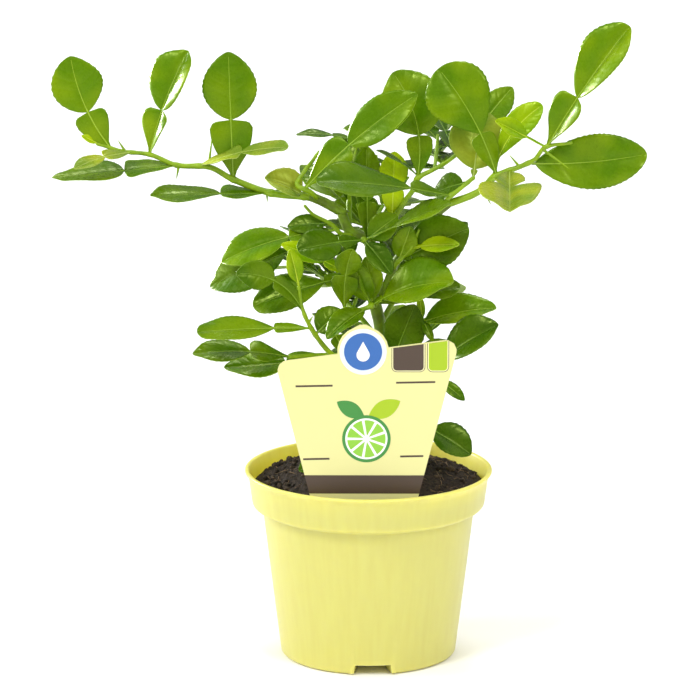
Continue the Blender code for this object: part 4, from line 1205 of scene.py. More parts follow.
def ribbon(mesher, shape, root, slot):
    """The midrib: a slim pale ridge that runs the leaf's length and tapers off before the tip."""
    steps = 36
    sides = 6
    vertices, faces = [], []
    for i in range(steps + 1):
        s = 0.96 * i / steps
        centre, side, normal = leaf_frame(shape, root, s)
        joint = math.exp(-(((s - shape["wing"]) * shape["size"] / 1.6) ** 2))
        r = (0.40 - 0.31 * s) + 0.18 * joint
        if s < 0.04:
            r += 0.35 * (1 - s / 0.04)
        for k in range(sides):
            a = math.tau * k / sides
            vertices.append(centre + side * (r * math.cos(a)) + normal * (r * 0.75 * math.sin(a) - 0.12))
    for i in range(steps):
        for k in range(sides):
            a, b = i * sides + k, i * sides + (k + 1) % sides
            faces.append((a, b, b + sides, a + sides))
    faces.append(tuple(reversed(range(sides))))
    faces.append(tuple(range(steps * sides, (steps + 1) * sides)))
    mesher.add(vertices, faces, slot)


def fine_tube(mesher, path, start, slot, sides=14, step=1.2, flare=0.0, relief=0.05, foot=None, bumps=(), sink=0.0):
    """A tapering stem with the fine ridges of young bark, a swelling at each leaf and a domed end.

    Its foot can sink into the limb that it grows from."""
    count = max(4, round(path.length * (1.0 - start) / step))
    rings = []
    for k in range(count + 1):
        share = start + (1.0 - start) * k / count
        centre, ahead, radius = path.at(share)
        swell = sum(0.22 * math.exp(-(((share - b) * path.length / 1.5) ** 2)) for b in bumps)
        radius = radius * (1 + swell) + flare * math.exp(-share * path.length / STEM_STEP)
        if k == 0 and sink:
            rings.append((centre - ahead * sink, foot or ahead, radius * 1.12, share))
        rings.append((centre, foot if k == 0 and foot else ahead, radius, share))
    tip, ahead, radius, share = rings[-1]
    rings += [(tip + ahead * radius * up, ahead, radius * wide, share) for up, wide in ((0.45, 0.86), (0.8, 0.5))]
    vertices, faces = [], []
    for centre, ahead, radius, share in rings:
        side = (ACROSS - ahead * ACROSS.dot(ahead)).normalized()
        over = ahead.cross(side)
        for i in range(sides):
            a = math.tau * i / sides
            spot = Vector((math.cos(a) * 2.2, math.sin(a) * 2.2, share * path.length * 0.22))
            r = radius * (1 + relief * noise.noise(spot) + 0.4 * relief * noise.noise(spot * 3.1))
            vertices.append(centre + side * (r * math.cos(a)) + over * (r * math.sin(a)))
    for k in range(len(rings) - 1):
        for i in range(sides):
            a, b = k * sides + i, k * sides + (i + 1) % sides
            faces.append((a, b, b + sides, a + sides))
    faces.append(tuple(reversed(range(sides))))
    last = (len(rings) - 1) * sides
    faces.append(tuple(range(last, last + sides)))
    mesher.add(vertices, faces, slot)


def fine_thorn(mesher, root, along, length, slot):
    """A citrus spine: round, and drawn out to a sharp tip."""
    sides, steps = 8, 8
    side = (ACROSS - along * ACROSS.dot(along)).normalized()
    over = along.cross(side)
    vertices, faces = [], []
    for k in range(steps):
        t = k / steps
        r = 0.75 * (1 - t) ** 0.8 + 0.05
        centre = root + along * (length * t)
        vertices += [
            centre + side * r * math.cos(math.tau * i / sides) + over * r * math.sin(math.tau * i / sides)
            for i in range(sides)
        ]
    vertices.append(root + along * length)
    for k in range(steps - 1):
        for i in range(sides):
            a, b = k * sides + i, k * sides + (i + 1) % sides
            faces.append((a, b, b + sides, a + sides))
    last = len(vertices) - 1
    first = (steps - 1) * sides
    faces += [(first + i, first + (i + 1) % sides, last) for i in range(sides)]
    mesher.add(vertices, faces, slot)


def mottled(material, first, second, spacing, **values):
    """Blends two colours in soft patches this far apart, over the material's base colour."""
    coordinates = add_node(material, "ShaderNodeTexCoord")
    clouds = add_node(
        material,
        "ShaderNodeTexNoise",
        values={"Scale": per_mm(spacing), **values},
        links=[("Vector", coordinates, "Object")],
    )
    ramp = add_node(material, "ShaderNodeValToRGB", links=[("Fac", clouds, "Fac")])
    ramp.color_ramp.elements[0].position, ramp.color_ramp.elements[1].position = 0.35, 0.65
    ramp.color_ramp.elements[0].color = (*first, 1.0)
    ramp.color_ramp.elements[1].color = (*second, 1.0)
    join_to(material, "Base Color", ramp, "Color")
    return coordinates


def leaf_materials(settings):
    """Citrus leaf: a thin waxed skin over its green, dimpled by oil glands, so that its shine breaks up into
    mottled patches and is tinted rather than white, with a pale midrib, a rim in the midrib's colour that is a painted
    highlight along the edge, and a dull pale underside."""
    made = []
    for tone in TONES:
        base = getattr(settings, tone)
        blade = new_material(
            f"waxy citrus leaf {tone}",
            base,
            settings.roughness,
            Specular_IOR_Level=0.45,
            Specular_Tint=(0.8, 1.0, 0.22, 1.0),
        )
        sunned = (1.2 * base[0], 1.06 * base[1], base[2])
        shaded = (0.58 * base[0], 0.72 * base[1], 0.8 * base[2])
        coordinates = mottled(blade, sunned, shaded, 17.0, Detail=1.0)
        gloss = add_node(
            blade,
            "ShaderNodeTexNoise",
            values={"Scale": per_mm(2.4), "Detail": 3.0},
            links=[("Vector", coordinates, "Object")],
        )
        spread = add_node(
            blade,
            "ShaderNodeMapRange",
            values={"From Min": 0.3, "From Max": 0.7, "To Min": settings.roughness - 0.08, "To Max": settings.roughness + 0.12},
            links=[("Value", gloss, "Fac")],
        )
        join_to(blade, "Roughness", spread, "Result")
        glands = add_node(
            blade,
            "ShaderNodeTexVoronoi",
            values={"Scale": per_mm(0.9)},
            links=[("Vector", coordinates, "Object")],
        )
        bump = add_node(
            blade,
            "ShaderNodeBump",
            values={"Strength": 0.16, "Distance": 0.00012},
            links=[("Height", glands, "Distance")],
        )
        join_to(blade, "Normal", bump, "Normal")
        # The midrib colour also covers each leaf's rim, where it is a painted highlight along the edge.
        rib_and_edge_highlight = new_material(f"leaf midrib {tone}", getattr(settings, tone + "_rib"), 0.4)
        under = new_material(f"leaf underside {tone}", getattr(settings, tone + "_under"), 0.6)
        made += [blade, rib_and_edge_highlight, under]
    return made


def stem_material(name, first, second, roughness):
    """Young citrus bark: a thin green skin, waxed and finely ridged along the stem, with duller patches."""
    made = new_material(name, linear(first), roughness, Specular_IOR_Level=0.35)
    coordinates = mottled(made, linear(first), linear(second), 5.0, Detail=3.0)
    ridges = add_node(
        made,
        "ShaderNodeTexNoise",
        values={"Scale": per_mm(1.0), "Detail": 2.0},
        links=[("Vector", coordinates, "Object")],
    )
    bump = add_node(
        made, "ShaderNodeBump", values={"Strength": 0.5, "Distance": 0.0002}, links=[("Height", ridges, "Fac")]
    )
    join_to(made, "Normal", bump, "Normal")
    return made


def colour(name, code, text):
    return bpy.props.FloatVectorProperty(
        name=name, description=text, subtype="COLOR", size=3, min=0.0, max=1.0, default=linear(code)
    )


class LIME_PG_leaves(bpy.types.PropertyGroup):
    young: colour("Young leaf", "#93B304", "Upper side of the youngest leaves")
    young_rib: colour("Young midrib", "#C0D52A", "Midrib of the youngest leaves")
    young_under: colour("Young underside", "#A5BC30", "Underside of the youngest leaves")
    # Pale leaf: a painted sheen, a lighter and greyer green that stands in for light reflected off the leaf's face.
    pale: colour("Pale leaf", "#8B9D2A", "Upper side of leaves that show a pale sheen")
    pale_rib: colour("Pale midrib", "#A9BC52", "Midrib of the pale leaves")
    pale_under: colour("Pale underside", "#9DB548", "Underside of the pale leaves")
    bright: colour("Sunlit leaf", "#6B8D03", "Upper side of leaves in full light")
    bright_rib: colour("Sunlit midrib", "#9DBB28", "Midrib of leaves in full light")
    bright_under: colour("Sunlit underside", "#8FAA34", "Underside of leaves in full light")
    fresh: colour("Fresh leaf", "#628502", "Upper side of leaves of the season")
    fresh_rib: colour("Fresh midrib", "#8FB022", "Midrib of leaves of the season")
    fresh_under: colour("Fresh underside", "#87A438", "Underside of leaves of the season")
    green: colour("Green leaf", "#587902", "Upper side of grown leaves")
    green_rib: colour("Green midrib", "#84A51C", "Midrib of grown leaves")
    green_under: colour("Green underside", "#7F9C38", "Underside of grown leaves")
    deep: colour("Deep green leaf", "#4C6F02", "Upper side of leaves in the crown")
    deep_rib: colour("Deep green midrib", "#789A18", "Midrib of leaves in the crown")
    deep_under: colour("Deep green underside", "#789438", "Underside of leaves in the crown")
    dark: colour("Dark leaf", "#3C5F02", "Upper side of old leaves")
    dark_rib: colour("Dark midrib", "#6B9014", "Midrib of old leaves")
    dark_under: colour("Dark underside", "#6E8C36", "Underside of old leaves")
    roughness: bpy.props.FloatProperty(
        name="Roughness", description="Roughness of a leaf's upper side", default=0.26, min=0.0, max=1.0
    )


class LIME_OT_leaves(bpy.types.Operator):
    """Grows the leaves, twigs and thorns of every mass of foliage"""

    bl_idname = "kaffir_lime.leaves"
    bl_label = "Leaves and Twigs"

    def execute(self, context):
        settings = context.scene.lime_leaves
        _, plants = plan_plant()
        materials = leaf_materials(settings)
        stem_green = stem_material("green citrus twig", "#8CAB0A", "#75960A", 0.38)
        for plant in plants:
            plan, stem = plant["plan"], plant["stem"]
            rng = random.Random(plan["name"])
            leaves = Mesher(plan["name"].replace("foliage", "leaves"), materials)
            for path, shape in plant["leaves"]:
                fine_leaf(leaves, shape, path.at(shape["at"])[0], rng)
            leaves_object = leaves.finish()
            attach(leaves_object, "root")
            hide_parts(plan["name"])
            twigs = Mesher(plan["name"].replace("foliage", "twigs"), [stem_green])
            stations = [shape["at"] for path, shape in plant["leaves"] if path is stem.path]
            fine_tube(twigs, stem.path, stem.start, 0, foot=stem.foot, bumps=stations, sink=FOOT_SINK)
            for twig in plant["twigs"]:
                stations = [shape["at"] for path, shape in plant["leaves"] if path is twig]
                fine_tube(twigs, twig, 0.0, 0, sides=10, bumps=stations)
            for at, slope, lean, length in plan["thorns"]:
                fine_thorn(twigs, stem.path.at(at)[0], direction(slope, lean), length, 0)
            twigs_object = twigs.finish()
            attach(twigs_object, "root")
            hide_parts(plan["name"])
        return {"FINISHED"}


class LIME_OT_bark(bpy.types.Operator):
    """Builds the trunk and the boughs with the relief of their bark"""

    bl_idname = "kaffir_lime.bark"
    bl_label = "Trunk and Boughs"

    def execute(self, context):
        limbs, _ = plan_plant()
        bark = stem_material("young green citrus bark", "#74930A", "#5A6E10", 0.42)
        for name, shoot in limbs.items():
            mesher = Mesher(name + "_bark", [bark])
            fine_tube(
                mesher,
                shoot.path,
                shoot.start,
                0,
                sides=24,
                flare=shoot.flare,
                relief=0.08,
                foot=shoot.foot,
                sink=FOOT_SINK,
            )
            made = mesher.finish()
            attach(made, "root")
            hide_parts(name)
        return {"FINISHED"}


def dress(node, material):
    """Gives a CAD node that keeps its shape its finish."""
    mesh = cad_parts[node].data
    mesh.materials.clear()
    mesh.materials.append(material)


def eased(section, reach, steps=5):
    """A section whose corners are drawn into short curves, so that the wall catches the light along them."""
    out = [section[0]]
    for before, corner, after in zip(section, section[1:], section[2:]):
        b, c, a = Vector(before), Vector(corner), Vector(after)
        r = min(reach, 0.45 * (b - c).length, 0.45 * (a - c).length)
        first, last = c + (b - c).normalized() * r, c + (a - c).normalized() * r
        out += [tuple(first.lerp(c, k / steps).lerp(c.lerp(last, k / steps), k / steps)) for k in range(steps + 1)]
    return [*out, section[-1]]


def lathe(name, section, steps, materials):
    """A closed turned mesh from a section of (radius, height) that starts and ends on the axis."""
    mesher = Mesher(name, materials)
    vertices = [(0.0, 0.0, section[0][1])]
    for r, z in section[1:-1]:
        vertices += [(r * math.cos(math.tau * k / steps), r * math.sin(math.tau * k / steps), z) for k in range(steps)]
    last = len(vertices)
    vertices.append((0.0, 0.0, section[-1][1]))
    faces = [(0, 1 + (k + 1) % steps, 1 + k) for k in range(steps)]
    rings = len(section) - 2
    for i in range(rings - 1):
        low, high = 1 + i * steps, 1 + (i + 1) * steps
        for k in range(steps):
            n = (k + 1) % steps
            faces.append((low + k, low + n, high + n, high + k))
    top = 1 + (rings - 1) * steps
    faces += [(last, top + k, top + (k + 1) % steps) for k in range(steps)]
    mesher.add(vertices, faces, 0)
    return mesher.finish()


def cut_channels(pot):
    """The drainage channels across the pot's underside, each with its roof and its hole."""
    roof_height = CHANNEL_HEIGHT + POT_WALL
    cutters = []
    for k, angle in enumerate(channel_turns()):
        first, last = CHANNEL_INNER_RADIUS - POT_WALL, BASE_RADIUS - POT_WALL / 2
        roof = channel(angle, POT_WALL, POT_WALL / 2, roof_height, first, last)
        cutters.append((roof, "UNION"))
    for k, angle in enumerate(channel_turns()):
        first, last = CHANNEL_INNER_RADIUS, BASE_RADIUS + 4 * CUT_PAST
        cutters.append((channel(angle, 0.0, -CUT_PAST, CHANNEL_HEIGHT, first, last), "DIFFERENCE"))
        a = math.radians(angle)
        centre = (DRAIN_RADIUS * math.cos(a), DRAIN_RADIUS * math.sin(a))
        circle = disc(centre, DRAIN_HOLE / 2, 40)
        cutters.append((prism(circle, circle, CHANNEL_HEIGHT - CUT_PAST, roof_height + CUT_PAST), "DIFFERENCE"))
    others = []
    for (vertices, faces), operation in cutters:
        mesher = Mesher("cutter", [])
        mesher.add(vertices, faces, 0)
        other = mesher.finish(smooth=False)
        step = pot.modifiers.new(operation, "BOOLEAN")
        step.object = other
        step.operation = operation
        step.solver = "EXACT"
        others.append(other)
    graph = bpy.context.evaluated_depsgraph_get()
    mesh = bpy.data.meshes.new_from_object(pot.evaluated_get(graph))
    pot.modifiers.clear()
    pot.data = mesh
    for other in others:
        bpy.data.objects.remove(other, do_unlink=True)
    mesh.shade_smooth()
    mesh.set_sharp_from_angle(angle=math.radians(38))


POT_TURNS = 180
CORNER_REACH = 1.5


def pot_plastic():
    """Polypropylene, injection moulded and coloured right through: a satin skin with faint streaks up the wall
    where the melt ran, and a very fine grain."""
    plastic = new_material(
        "moulded polypropylene, pale yellow",
        linear("#DBD271"),
        0.36,
        Specular_IOR_Level=0.5,
        Subsurface_Weight=0.8,
        Subsurface_Radius=(1.0, 0.9, 0.4),
        Subsurface_Scale=0.006,
    )
    coordinates = add_node(plastic, "ShaderNodeTexCoord")
    drawn_up = add_node(
        plastic, "ShaderNodeMapping", values={"Scale": (1.0, 1.0, 0.04)}, links=[("Vector", coordinates, "Object")]
    )
    streaks = add_node(
        plastic,
        "ShaderNodeTexNoise",
        values={"Scale": per_mm(3.5), "Detail": 2.0},
        links=[("Vector", drawn_up, "Vector")],
    )
    ramp = add_node(plastic, "ShaderNodeValToRGB", links=[("Fac", streaks, "Fac")])
    ramp.color_ramp.elements[0].position, ramp.color_ramp.elements[1].position = 0.3, 0.7
    ramp.color_ramp.elements[0].color = (*linear("#DAD06F"), 1.0)
    ramp.color_ramp.elements[1].color = (*linear("#DDD574"), 1.0)
    join_to(plastic, "Base Color", ramp, "Color")
    grain = add_node(
        plastic,
        "ShaderNodeTexNoise",
        values={"Scale": per_mm(1.5)},
        links=[("Vector", coordinates, "Object")],
    )
    bump = add_node(
        plastic, "ShaderNodeBump", values={"Strength": 0.1, "Distance": 0.0001}, links=[("Height", grain, "Fac")]
    )
    join_to(plastic, "Normal", bump, "Normal")
    return plastic


def peat_material(name, light, dark):
    """Peat: crumbled moss and root fibre, moist, so dark and dull, with drier and browner crumbs in it."""
    peat = new_material(name, linear(dark), 0.88, Specular_IOR_Level=0.3)
    coordinates = mottled(peat, linear(dark), linear(light), 1.6, Detail=4.0)
    crumbs = add_node(
        peat,
        "ShaderNodeTexNoise",
        values={"Scale": per_mm(0.9), "Detail": 5.0},
        links=[("Vector", coordinates, "Object")],
    )
    bump = add_node(
        peat, "ShaderNodeBump", values={"Strength": 1.0, "Distance": 0.0008}, links=[("Height", crumbs, "Fac")]
    )
    join_to(peat, "Normal", bump, "Normal")
    return peat


def fibre_material():
    """Peat fibre: thin dry strands of moss and root, lighter and warmer than the crumbs."""
    fibre = new_material("dry peat fibre", linear("#8A6F4E"), 0.7)
    mottled(fibre, linear("#8A6F4E"), linear("#5C452F"), 2.0)
    return fibre


SOIL_RIM = 55.6  # radius at which the soil meets the pot's wall
SOIL_RINGS = 84
SOIL_TURNS = 300
SOIL_PROUD = 0.15  # how far the crumbled surface lies over the solid soil
COARSE_CLOD, FINE_CLOD = 5.0, 2.2  # spacing of the lumps in its surface
CLODS = 420
CLOD_SIZES = (0.5, 1.9)
FIBRES = 190
LABEL_CLEAR = 3.0  # how far from the label the surface is pressed smooth


def soil_height(r):
    """The solid soil's height at a radius."""
    marks = [(0.0, SOIL_TOP), (SOIL_SEAT_RADIUS, SOIL_TOP), *reversed(SOIL_CROWN), (SOIL_RIM, SOIL_EDGE)]
    for (r0, z0), (r1, z1) in zip(marks, marks[1:]):
        if r <= r1:
            return z0 + (z1 - z0) * (r - r0) / (r1 - r0)
    return SOIL_EDGE


def crumbled(x, y):
    """The height of the crumbled surface: rounded lumps of two sizes with grit between them."""
    r = math.hypot(x, y)
    spot = Vector((x, y, 0.0))
    coarse = max(0.0, 1.0 - noise.voronoi(spot / COARSE_CLOD)[0][0] * 1.5)
    fine = max(0.0, 1.0 - noise.voronoi(spot / FINE_CLOD)[0][0] * 1.6)
    lift = 1.7 * coarse + 0.9 * fine + 0.5 * noise.noise(spot / 0.9) + 0.8 * (0.5 + 0.5 * noise.noise(spot / 11.0))
    lift *= min(1.0, (SOIL_RIM - r) / 3.0)
    if LABEL_FOOT_LEFT - LABEL_CLEAR < x < LABEL_FOOT_RIGHT + LABEL_CLEAR:
        lift *= min(1.0, abs(y - LABEL_Y) / LABEL_CLEAR)
    return soil_height(r) + SOIL_PROUD + max(0.0, lift)


def ball(rounds=2):
    """The points and faces of a unit ball."""
    shape = bmesh.new()
    bmesh.ops.create_icosphere(shape, subdivisions=rounds, radius=1.0)
    points = [v.co.copy() for v in shape.verts]
    faces = [tuple(v.index for v in face.verts) for face in shape.faces]
    shape.free()
    return points, faces


def heap_soil(mesher):
    """The crumbled surface over the soil, with loose clods and fibres lying on it."""
    rng = random.Random("soil")
    vertices = [(0.0, 0.0, crumbled(0.0, 0.0))]
    for i in range(1, SOIL_RINGS + 1):
        r = SOIL_RIM * i / SOIL_RINGS
        for k in range(SOIL_TURNS):
            a = math.tau * (k + 0.5 * (i % 2)) / SOIL_TURNS
            x, y = r * math.cos(a), r * math.sin(a)
            vertices.append((x, y, crumbled(x, y)))
    last = 1 + (SOIL_RINGS - 1) * SOIL_TURNS
    vertices += [(x, y, SOIL_EDGE - 2.0) for x, y, z in vertices[last:]]
    faces = [(0, 1 + k, 1 + (k + 1) % SOIL_TURNS) for k in range(SOIL_TURNS)]
    for i in range(SOIL_RINGS):
        low, high = 1 + i * SOIL_TURNS, 1 + (i + 1) * SOIL_TURNS
        for k in range(SOIL_TURNS):
            n = (k + 1) % SOIL_TURNS
            faces.append((low + k, high + k, high + n, low + n))
    foot = 1 + SOIL_RINGS * SOIL_TURNS
    faces.append(tuple(reversed(range(foot, foot + SOIL_TURNS))))
    mesher.add(vertices, faces, 0)
    points, sides = ball()
    for k in range(CLODS):
        x, y = spread_on_soil(rng)
        size = rng.uniform(*CLOD_SIZES) * rng.uniform(0.6, 1.0)
        stretch = Vector((rng.uniform(0.7, 1.3), rng.uniform(0.7, 1.3), rng.uniform(0.55, 1.0)))
        shift = Vector((31.0 * k, 0.0, 0.0))
        centre = Vector((x, y, crumbled(x, y) + 0.25 * size))
        lump = [centre + p * stretch * size * (1.0 + 0.45 * noise.noise(p * 1.6 + shift)) for p in points]
        mesher.add(lump, sides, 1 if k % 3 == 0 else 0)
    for k in range(FIBRES):
        x, y = spread_on_soil(rng)
        turn, length = rng.uniform(0, math.tau), rng.uniform(2.5, 8.0)
        ahead = Vector((math.cos(turn), math.sin(turn), 0.0))
        bend = Vector((-ahead.y, ahead.x, 0.0)) * rng.uniform(-1.5, 1.5)
        spots = [Vector((x, y, 0.0)) + ahead * (length * u) + bend * (u * u) for u in (0.0, 0.33, 0.66, 1.0)]
        if max(math.hypot(*p.xy) for p in spots) > SOIL_RIM - 2.0 or any(by_the_label(p.x, p.y) for p in spots):
            continue
        spots = [Vector((p.x, p.y, crumbled(p.x, p.y) + rng.uniform(0.1, 0.9))) for p in spots]
        radius = rng.uniform(0.09, 0.2)
        fine_tube(mesher, Path(spots, (radius, radius * 0.6)), 0.0, 2, sides=5, step=0.8)


def by_the_label(x, y):
    return LABEL_FOOT_LEFT - 4.0 < x < LABEL_FOOT_RIGHT + 4.0 and abs(y - LABEL_Y) < LABEL_CLEAR


def spread_on_soil(rng):
    """A place on the soil, clear of the wall and the label."""
    while True:
        r = (SOIL_RIM - 3.5) * math.sqrt(rng.random())
        a = rng.uniform(0, math.tau)
        x, y = r * math.cos(a), r * math.sin(a)
        if not by_the_label(x, y):
            return x, y


class LIME_OT_pot(bpy.types.Operator):
    """Finishes the pot and the soil"""

    bl_idname = "kaffir_lime.pot"
    bl_label = "Pot and Soil"

    def execute(self, context):
        plastic = pot_plastic()
        outer, inner = pot_profile()
        pot = lathe("pot_wall", eased(outer + inner, CORNER_REACH), POT_TURNS, [plastic])
        cut_channels(pot)
        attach(pot, "root")
        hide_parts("pot")
        peat = peat_material("moist peat", "#3B3026", "#1D1711")
        dress("soil", peat)
        crumbs = Mesher("soil_crumbs", [peat, peat_material("dry peat crumb", "#5A4B3B", "#33291F"), fibre_material()])
        heap_soil(crumbs)
        made = crumbs.finish()
        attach(made, "root")
        return {"FINISHED"}


PRINT_PROUD = 0.05  # how far each layer of print stands off the card
BADGE_RADIUS = 9.0
SLICE_CENTRE = (-1.0, 118.5)
SLICE_RADIUS = 11.5
SEGMENTS = 9


def printed(mesher, outline, slot, layer=1):
    """A flat printed shape on the card's face from an outline of (across, up)."""
    front = LABEL_Y - LABEL_THICKNESS / 2 - PRINT_PROUD * layer
    mesher.add([(x, front, z) for x, z in outline], [tuple(range(len(outline)))], slot)


def disc(centre, radius, steps=64, first=0.0, last=math.tau):
    turns = [first + (last - first) * k / steps for k in range(steps + (last - first < math.tau))]
    return [(centre[0] + radius * math.cos(a), centre[1] + radius * math.sin(a)) for a in turns]


def bar(left, right, low, high, slope=0.0):
    """A printed bar; slope raises its right end."""
    rise = slope * (right - left)
    return [(left, low), (right, low + rise), (right, high + rise), (left, high)]


def edge_at(z, side):
    """The card's edge at a height, -1 for its left side and 1 for its right."""
    foot = LABEL_FOOT_LEFT if side < 0 else LABEL_FOOT_RIGHT
    top = LABEL_TOP_LEFT if side < 0 else LABEL_TOP_RIGHT
    return foot + (top[0] - foot) * (z - LABEL_FOOT) / (top[1] - LABEL_FOOT)


def leaf_outline(root, angle, length, width, steps=16):
    """A pointed leaf as a flat outline."""
    a = math.radians(angle)
    out = []
    for way in (1, -1):
        for k in range(steps):
            t = k / steps if way > 0 else 1 - k / steps
            w = way * width / 2 * math.sin(math.pi * t) ** 0.8
            out.append((root[0] + t * length * math.cos(a) + w * math.sin(a),
                        root[1] + t * length * math.sin(a) - w * math.cos(a)))
    return out


def drop_outline(centre, radius, steps=24):
    """A water drop: round below and drawn up to a point."""
    out = disc(centre, radius, steps, math.radians(155), math.radians(385))
    return [*out, (centre[0], centre[1] + 2.1 * radius)]


TAB_CORNER = 1.8
TAB_CREST = (161.2, 0.133)  # the height of the tabs' top edge at the card's middle, and its rise to the right


def tab_outline(left, right, foot, corner, steps=6):
    """A tab that hangs from the card's sloping top edge, with rounded lower corners."""
    base, rise = TAB_CREST
    turns = [math.pi / 2 * k / steps for k in range(steps + 1)]
    low_left = [(left + corner * (1 - math.cos(a)), foot + corner * (1 - math.sin(a))) for a in turns]
    low_right = [(right - corner * (1 - math.sin(a)), foot + corner * (1 - math.cos(a))) for a in turns]
    return [*low_left, *low_right, (right, base + rise * right), (left, base + rise * left)]


def build_print(mesher):
    """The card's print: a band, two tabs, short rules, a disc with a drop, and a slice of citrus with leaves."""
    brown, blue, green, white, rind, flesh, rim, pale = range(8)
    printed(mesher, [(edge_at(91.6, -1), 91.6), (edge_at(91.6, 1), 91.6), (edge_at(100.6, 1), 100.6), (edge_at(100.6, -1), 100.6)], brown)
    for left, right, ink in ((11.6, 26.0, brown), (28.4, 37.2, green)):
        for grow, slot, layer in ((0.75, brown, 1), (0.45, pale, 2), (0.0, ink, 3)):
            printed(mesher, tab_outline(left - grow, right + grow, 151.8 - grow, TAB_CORNER + grow), slot, layer)
    for left, right, z in ((-34.5, -17.0, 143.6), (13.0, 31.5, 145.4), (-31.0, -18.5, 108.0), (15.0, 26.0, 109.4)):
        printed(mesher, bar(left, right, z, z + 0.9, 0.02), brown)
    printed(mesher, disc(BUMP_CENTRE, BUMP_RADIUS - 1.1), rim)
    printed(mesher, disc(BUMP_CENTRE, BADGE_RADIUS), blue, 2)
    printed(mesher, drop_outline((BUMP_CENTRE[0], BUMP_CENTRE[1] - 1.6), 3.1), white, 3)
    printed(mesher, leaf_outline((SLICE_CENTRE[0] + 1.0, SLICE_CENTRE[1] + SLICE_RADIUS - 1.0), 28, 17, 8.5), green)
    printed(mesher, leaf_outline((SLICE_CENTRE[0] - 1.0, SLICE_CENTRE[1] + SLICE_RADIUS - 1.0), 150, 15, 7.5), rind)
    printed(mesher, disc(SLICE_CENTRE, SLICE_RADIUS), rind, 2)
    printed(mesher, disc(SLICE_CENTRE, SLICE_RADIUS - 1.5), white, 3)
    for k in range(SEGMENTS):
        a = math.tau * k / SEGMENTS
        spread = math.pi / SEGMENTS - 0.07
        tip = (SLICE_CENTRE[0] + 1.4 * math.cos(a), SLICE_CENTRE[1] + 1.4 * math.sin(a))
        wedge = [tip, *disc(SLICE_CENTRE, SLICE_RADIUS - 2.4, 8, a - spread, a + spread)]
        printed(mesher, wedge, flesh, 4)


class LIME_OT_label(bpy.types.Operator):
    """Finishes the plant label's card and lays its plain print on it"""

    bl_idname = "kaffir_lime.label"
    bl_label = "Label"

    def execute(self, context):
        dress("label", new_material("printed polystyrene card", linear("#E1DD97"), 0.4))
        inks = [
            new_material("brown printing ink", linear("#4B3B2E"), 0.5),
            new_material("blue printing ink", linear("#2F66AE"), 0.35),
            new_material("leaf green printing ink", linear("#A3C00E"), 0.5),
            new_material("white printing ink", linear("#FBFBF6"), 0.5),
            new_material("deep green printing ink", linear("#3E8A3A"), 0.5),
            new_material("lime green printing ink", linear("#8CC63A"), 0.5),
            new_material("pale blue printing ink", linear("#DCE8F2"), 0.4),
            new_material("pale yellow printing ink", linear("#F7F2B8"), 0.5),
        ]
        mesher = Mesher("label_print", inks)
        build_print(mesher)
        made = mesher.finish(smooth=False)
        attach(made, "root")
        return {"FINISHED"}


CAMERA_EYE = (0.0, -2.1, 0.6493)
CAMERA_AIM = (-0.00994, 0.0, 0.1517)
CAMERA_LENS = 231.44


def soft_sun(name, turn, height, spread, power):
    """A wide soft light from far off; turn is its bearing to the right of the camera's, height its rise."""
    a, h = math.radians(turn), math.radians(height)
    lamp = bpy.data.lights.new(name, "SUN")
    lamp.angle = math.radians(spread)
    lamp.energy = power
    made = bpy.data.objects.new(name, lamp)
    place = Vector((math.sin(a) * math.cos(h), -math.cos(a) * math.cos(h), math.sin(h)))
    made.location = place * 3.0
    made.rotation_euler = (-place).to_track_quat("-Z", "Y").to_euler()
    bpy.context.scene.collection.objects.link(made)


def soft_box(name, aim, turn, height, distance, width, power):
    """A small softbox this far from the point it is aimed at, with its light kept to a narrow cone."""
    a, h = math.radians(turn), math.radians(height)
    lamp = bpy.data.lights.new(name, "AREA")
    lamp.size = width * MM
    lamp.energy = power
    lamp.spread = math.radians(40)
    made = bpy.data.objects.new(name, lamp)
    way = Vector((math.sin(a) * math.cos(h), -math.cos(a) * math.cos(h), math.sin(h)))
    made.location = (Vector(aim) + way * distance) * MM
    made.rotation_euler = (-way).to_track_quat("-Z", "Y").to_euler()
    bpy.context.scene.collection.objects.link(made)


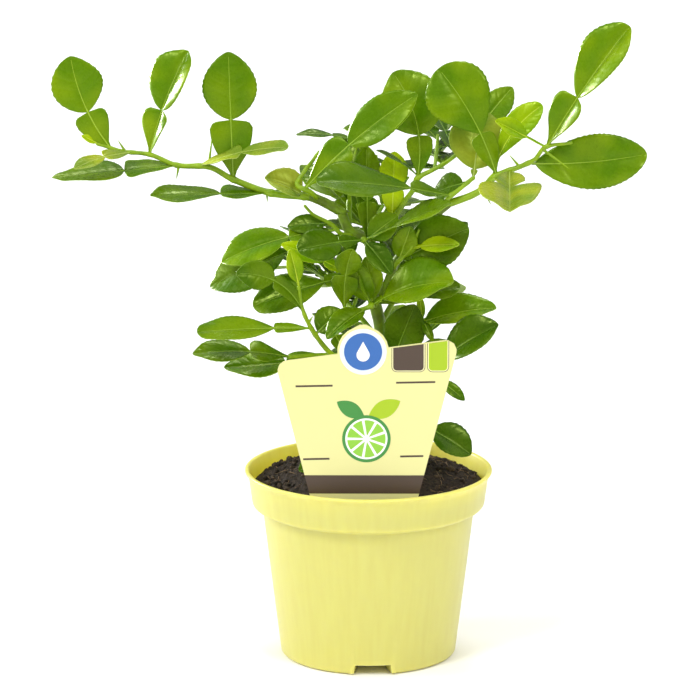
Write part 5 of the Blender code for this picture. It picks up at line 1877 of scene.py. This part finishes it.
class LIME_OT_studio(bpy.types.Operator):
    """Sets up the floor, the lights and the camera"""

    bl_idname = "kaffir_lime.studio"
    bl_label = "Studio"

    def execute(self, context):
        scene = context.scene
        scene.view_settings.view_transform = "Standard"
        floor = Mesher("floor", [new_material("pale studio floor", linear("#FFFFFF"), 0.8)])
        floor.add([(-3e4, -3e4, -0.2), (3e4, -3e4, -0.2), (3e4, 3e4, -0.2), (-3e4, 3e4, -0.2)], [(0, 1, 2, 3)], 0)
        floor.finish(smooth=False)
        world = bpy.data.worlds.new("studio sky")
        world.use_nodes = True
        background = world.node_tree.nodes["Background"]
        background.inputs["Color"].default_value = (1.0, 1.0, 1.0, 1.0)
        background.inputs["Strength"].default_value = 0.16
        scene.world = world
        soft_sun("key light", -38, 48, 14, 1.15)
        soft_sun("soft fill", -6, 48, 130, 0.85)
        soft_sun("right light", 36, 42, 14, 0.7)
        soft_sun("left strip light", -84, 27, 14, 0.65)
        soft_sun("overhead light", 175, 70, 16, 0.8)
        soft_sun("back fill", 130, 38, 80, 0.4)
        soft_sun("top fill", 0, 80, 120, 0.7)
        soft_box("rim light", (-95, 0, 275), -129, 8, 600, 170, 0.6)
        lens = bpy.data.cameras.new("camera")
        lens.lens = CAMERA_LENS
        lens.sensor_width = 36.0
        lens.clip_end = 100.0
        camera = bpy.data.objects.new("camera", lens)
        camera.location = CAMERA_EYE
        camera.rotation_euler = (Vector(CAMERA_AIM) - Vector(CAMERA_EYE)).to_track_quat("-Z", "Y").to_euler()
        scene.collection.objects.link(camera)
        scene.camera = camera
        return {"FINISHED"}


class LIME_PT_panel(bpy.types.Panel):
    """Lists the pieces of the kaffir lime tree"""

    bl_idname = "LIME_PT_panel"
    bl_label = "Kaffir Lime"
    bl_space_type = "VIEW_3D"
    bl_region_type = "UI"
    bl_category = "Kaffir Lime"

    def draw(self, context):
        settings = context.scene.lime_leaves
        for name in settings.bl_rna.properties.keys():
            if name not in {"rna_type", "name"}:
                self.layout.prop(settings, name)
        for operator in OPERATORS:
            self.layout.operator(operator.bl_idname)


OPERATORS = (LIME_OT_leaves, LIME_OT_bark, LIME_OT_pot, LIME_OT_label, LIME_OT_studio)
CLASSES = (LIME_PG_leaves, *OPERATORS, LIME_PT_panel)


def register():
    for item in CLASSES:
        bpy.utils.register_class(item)
    bpy.types.Scene.lime_leaves = bpy.props.PointerProperty(type=LIME_PG_leaves)


def unregister():
    del bpy.types.Scene.lime_leaves
    for item in reversed(CLASSES):
        bpy.utils.unregister_class(item)


def main():
    register()
    for operator in OPERATORS:
        group, name = operator.bl_idname.split(".")
        getattr(getattr(bpy.ops, group), name)()


if __name__ == "__main__":
    main()
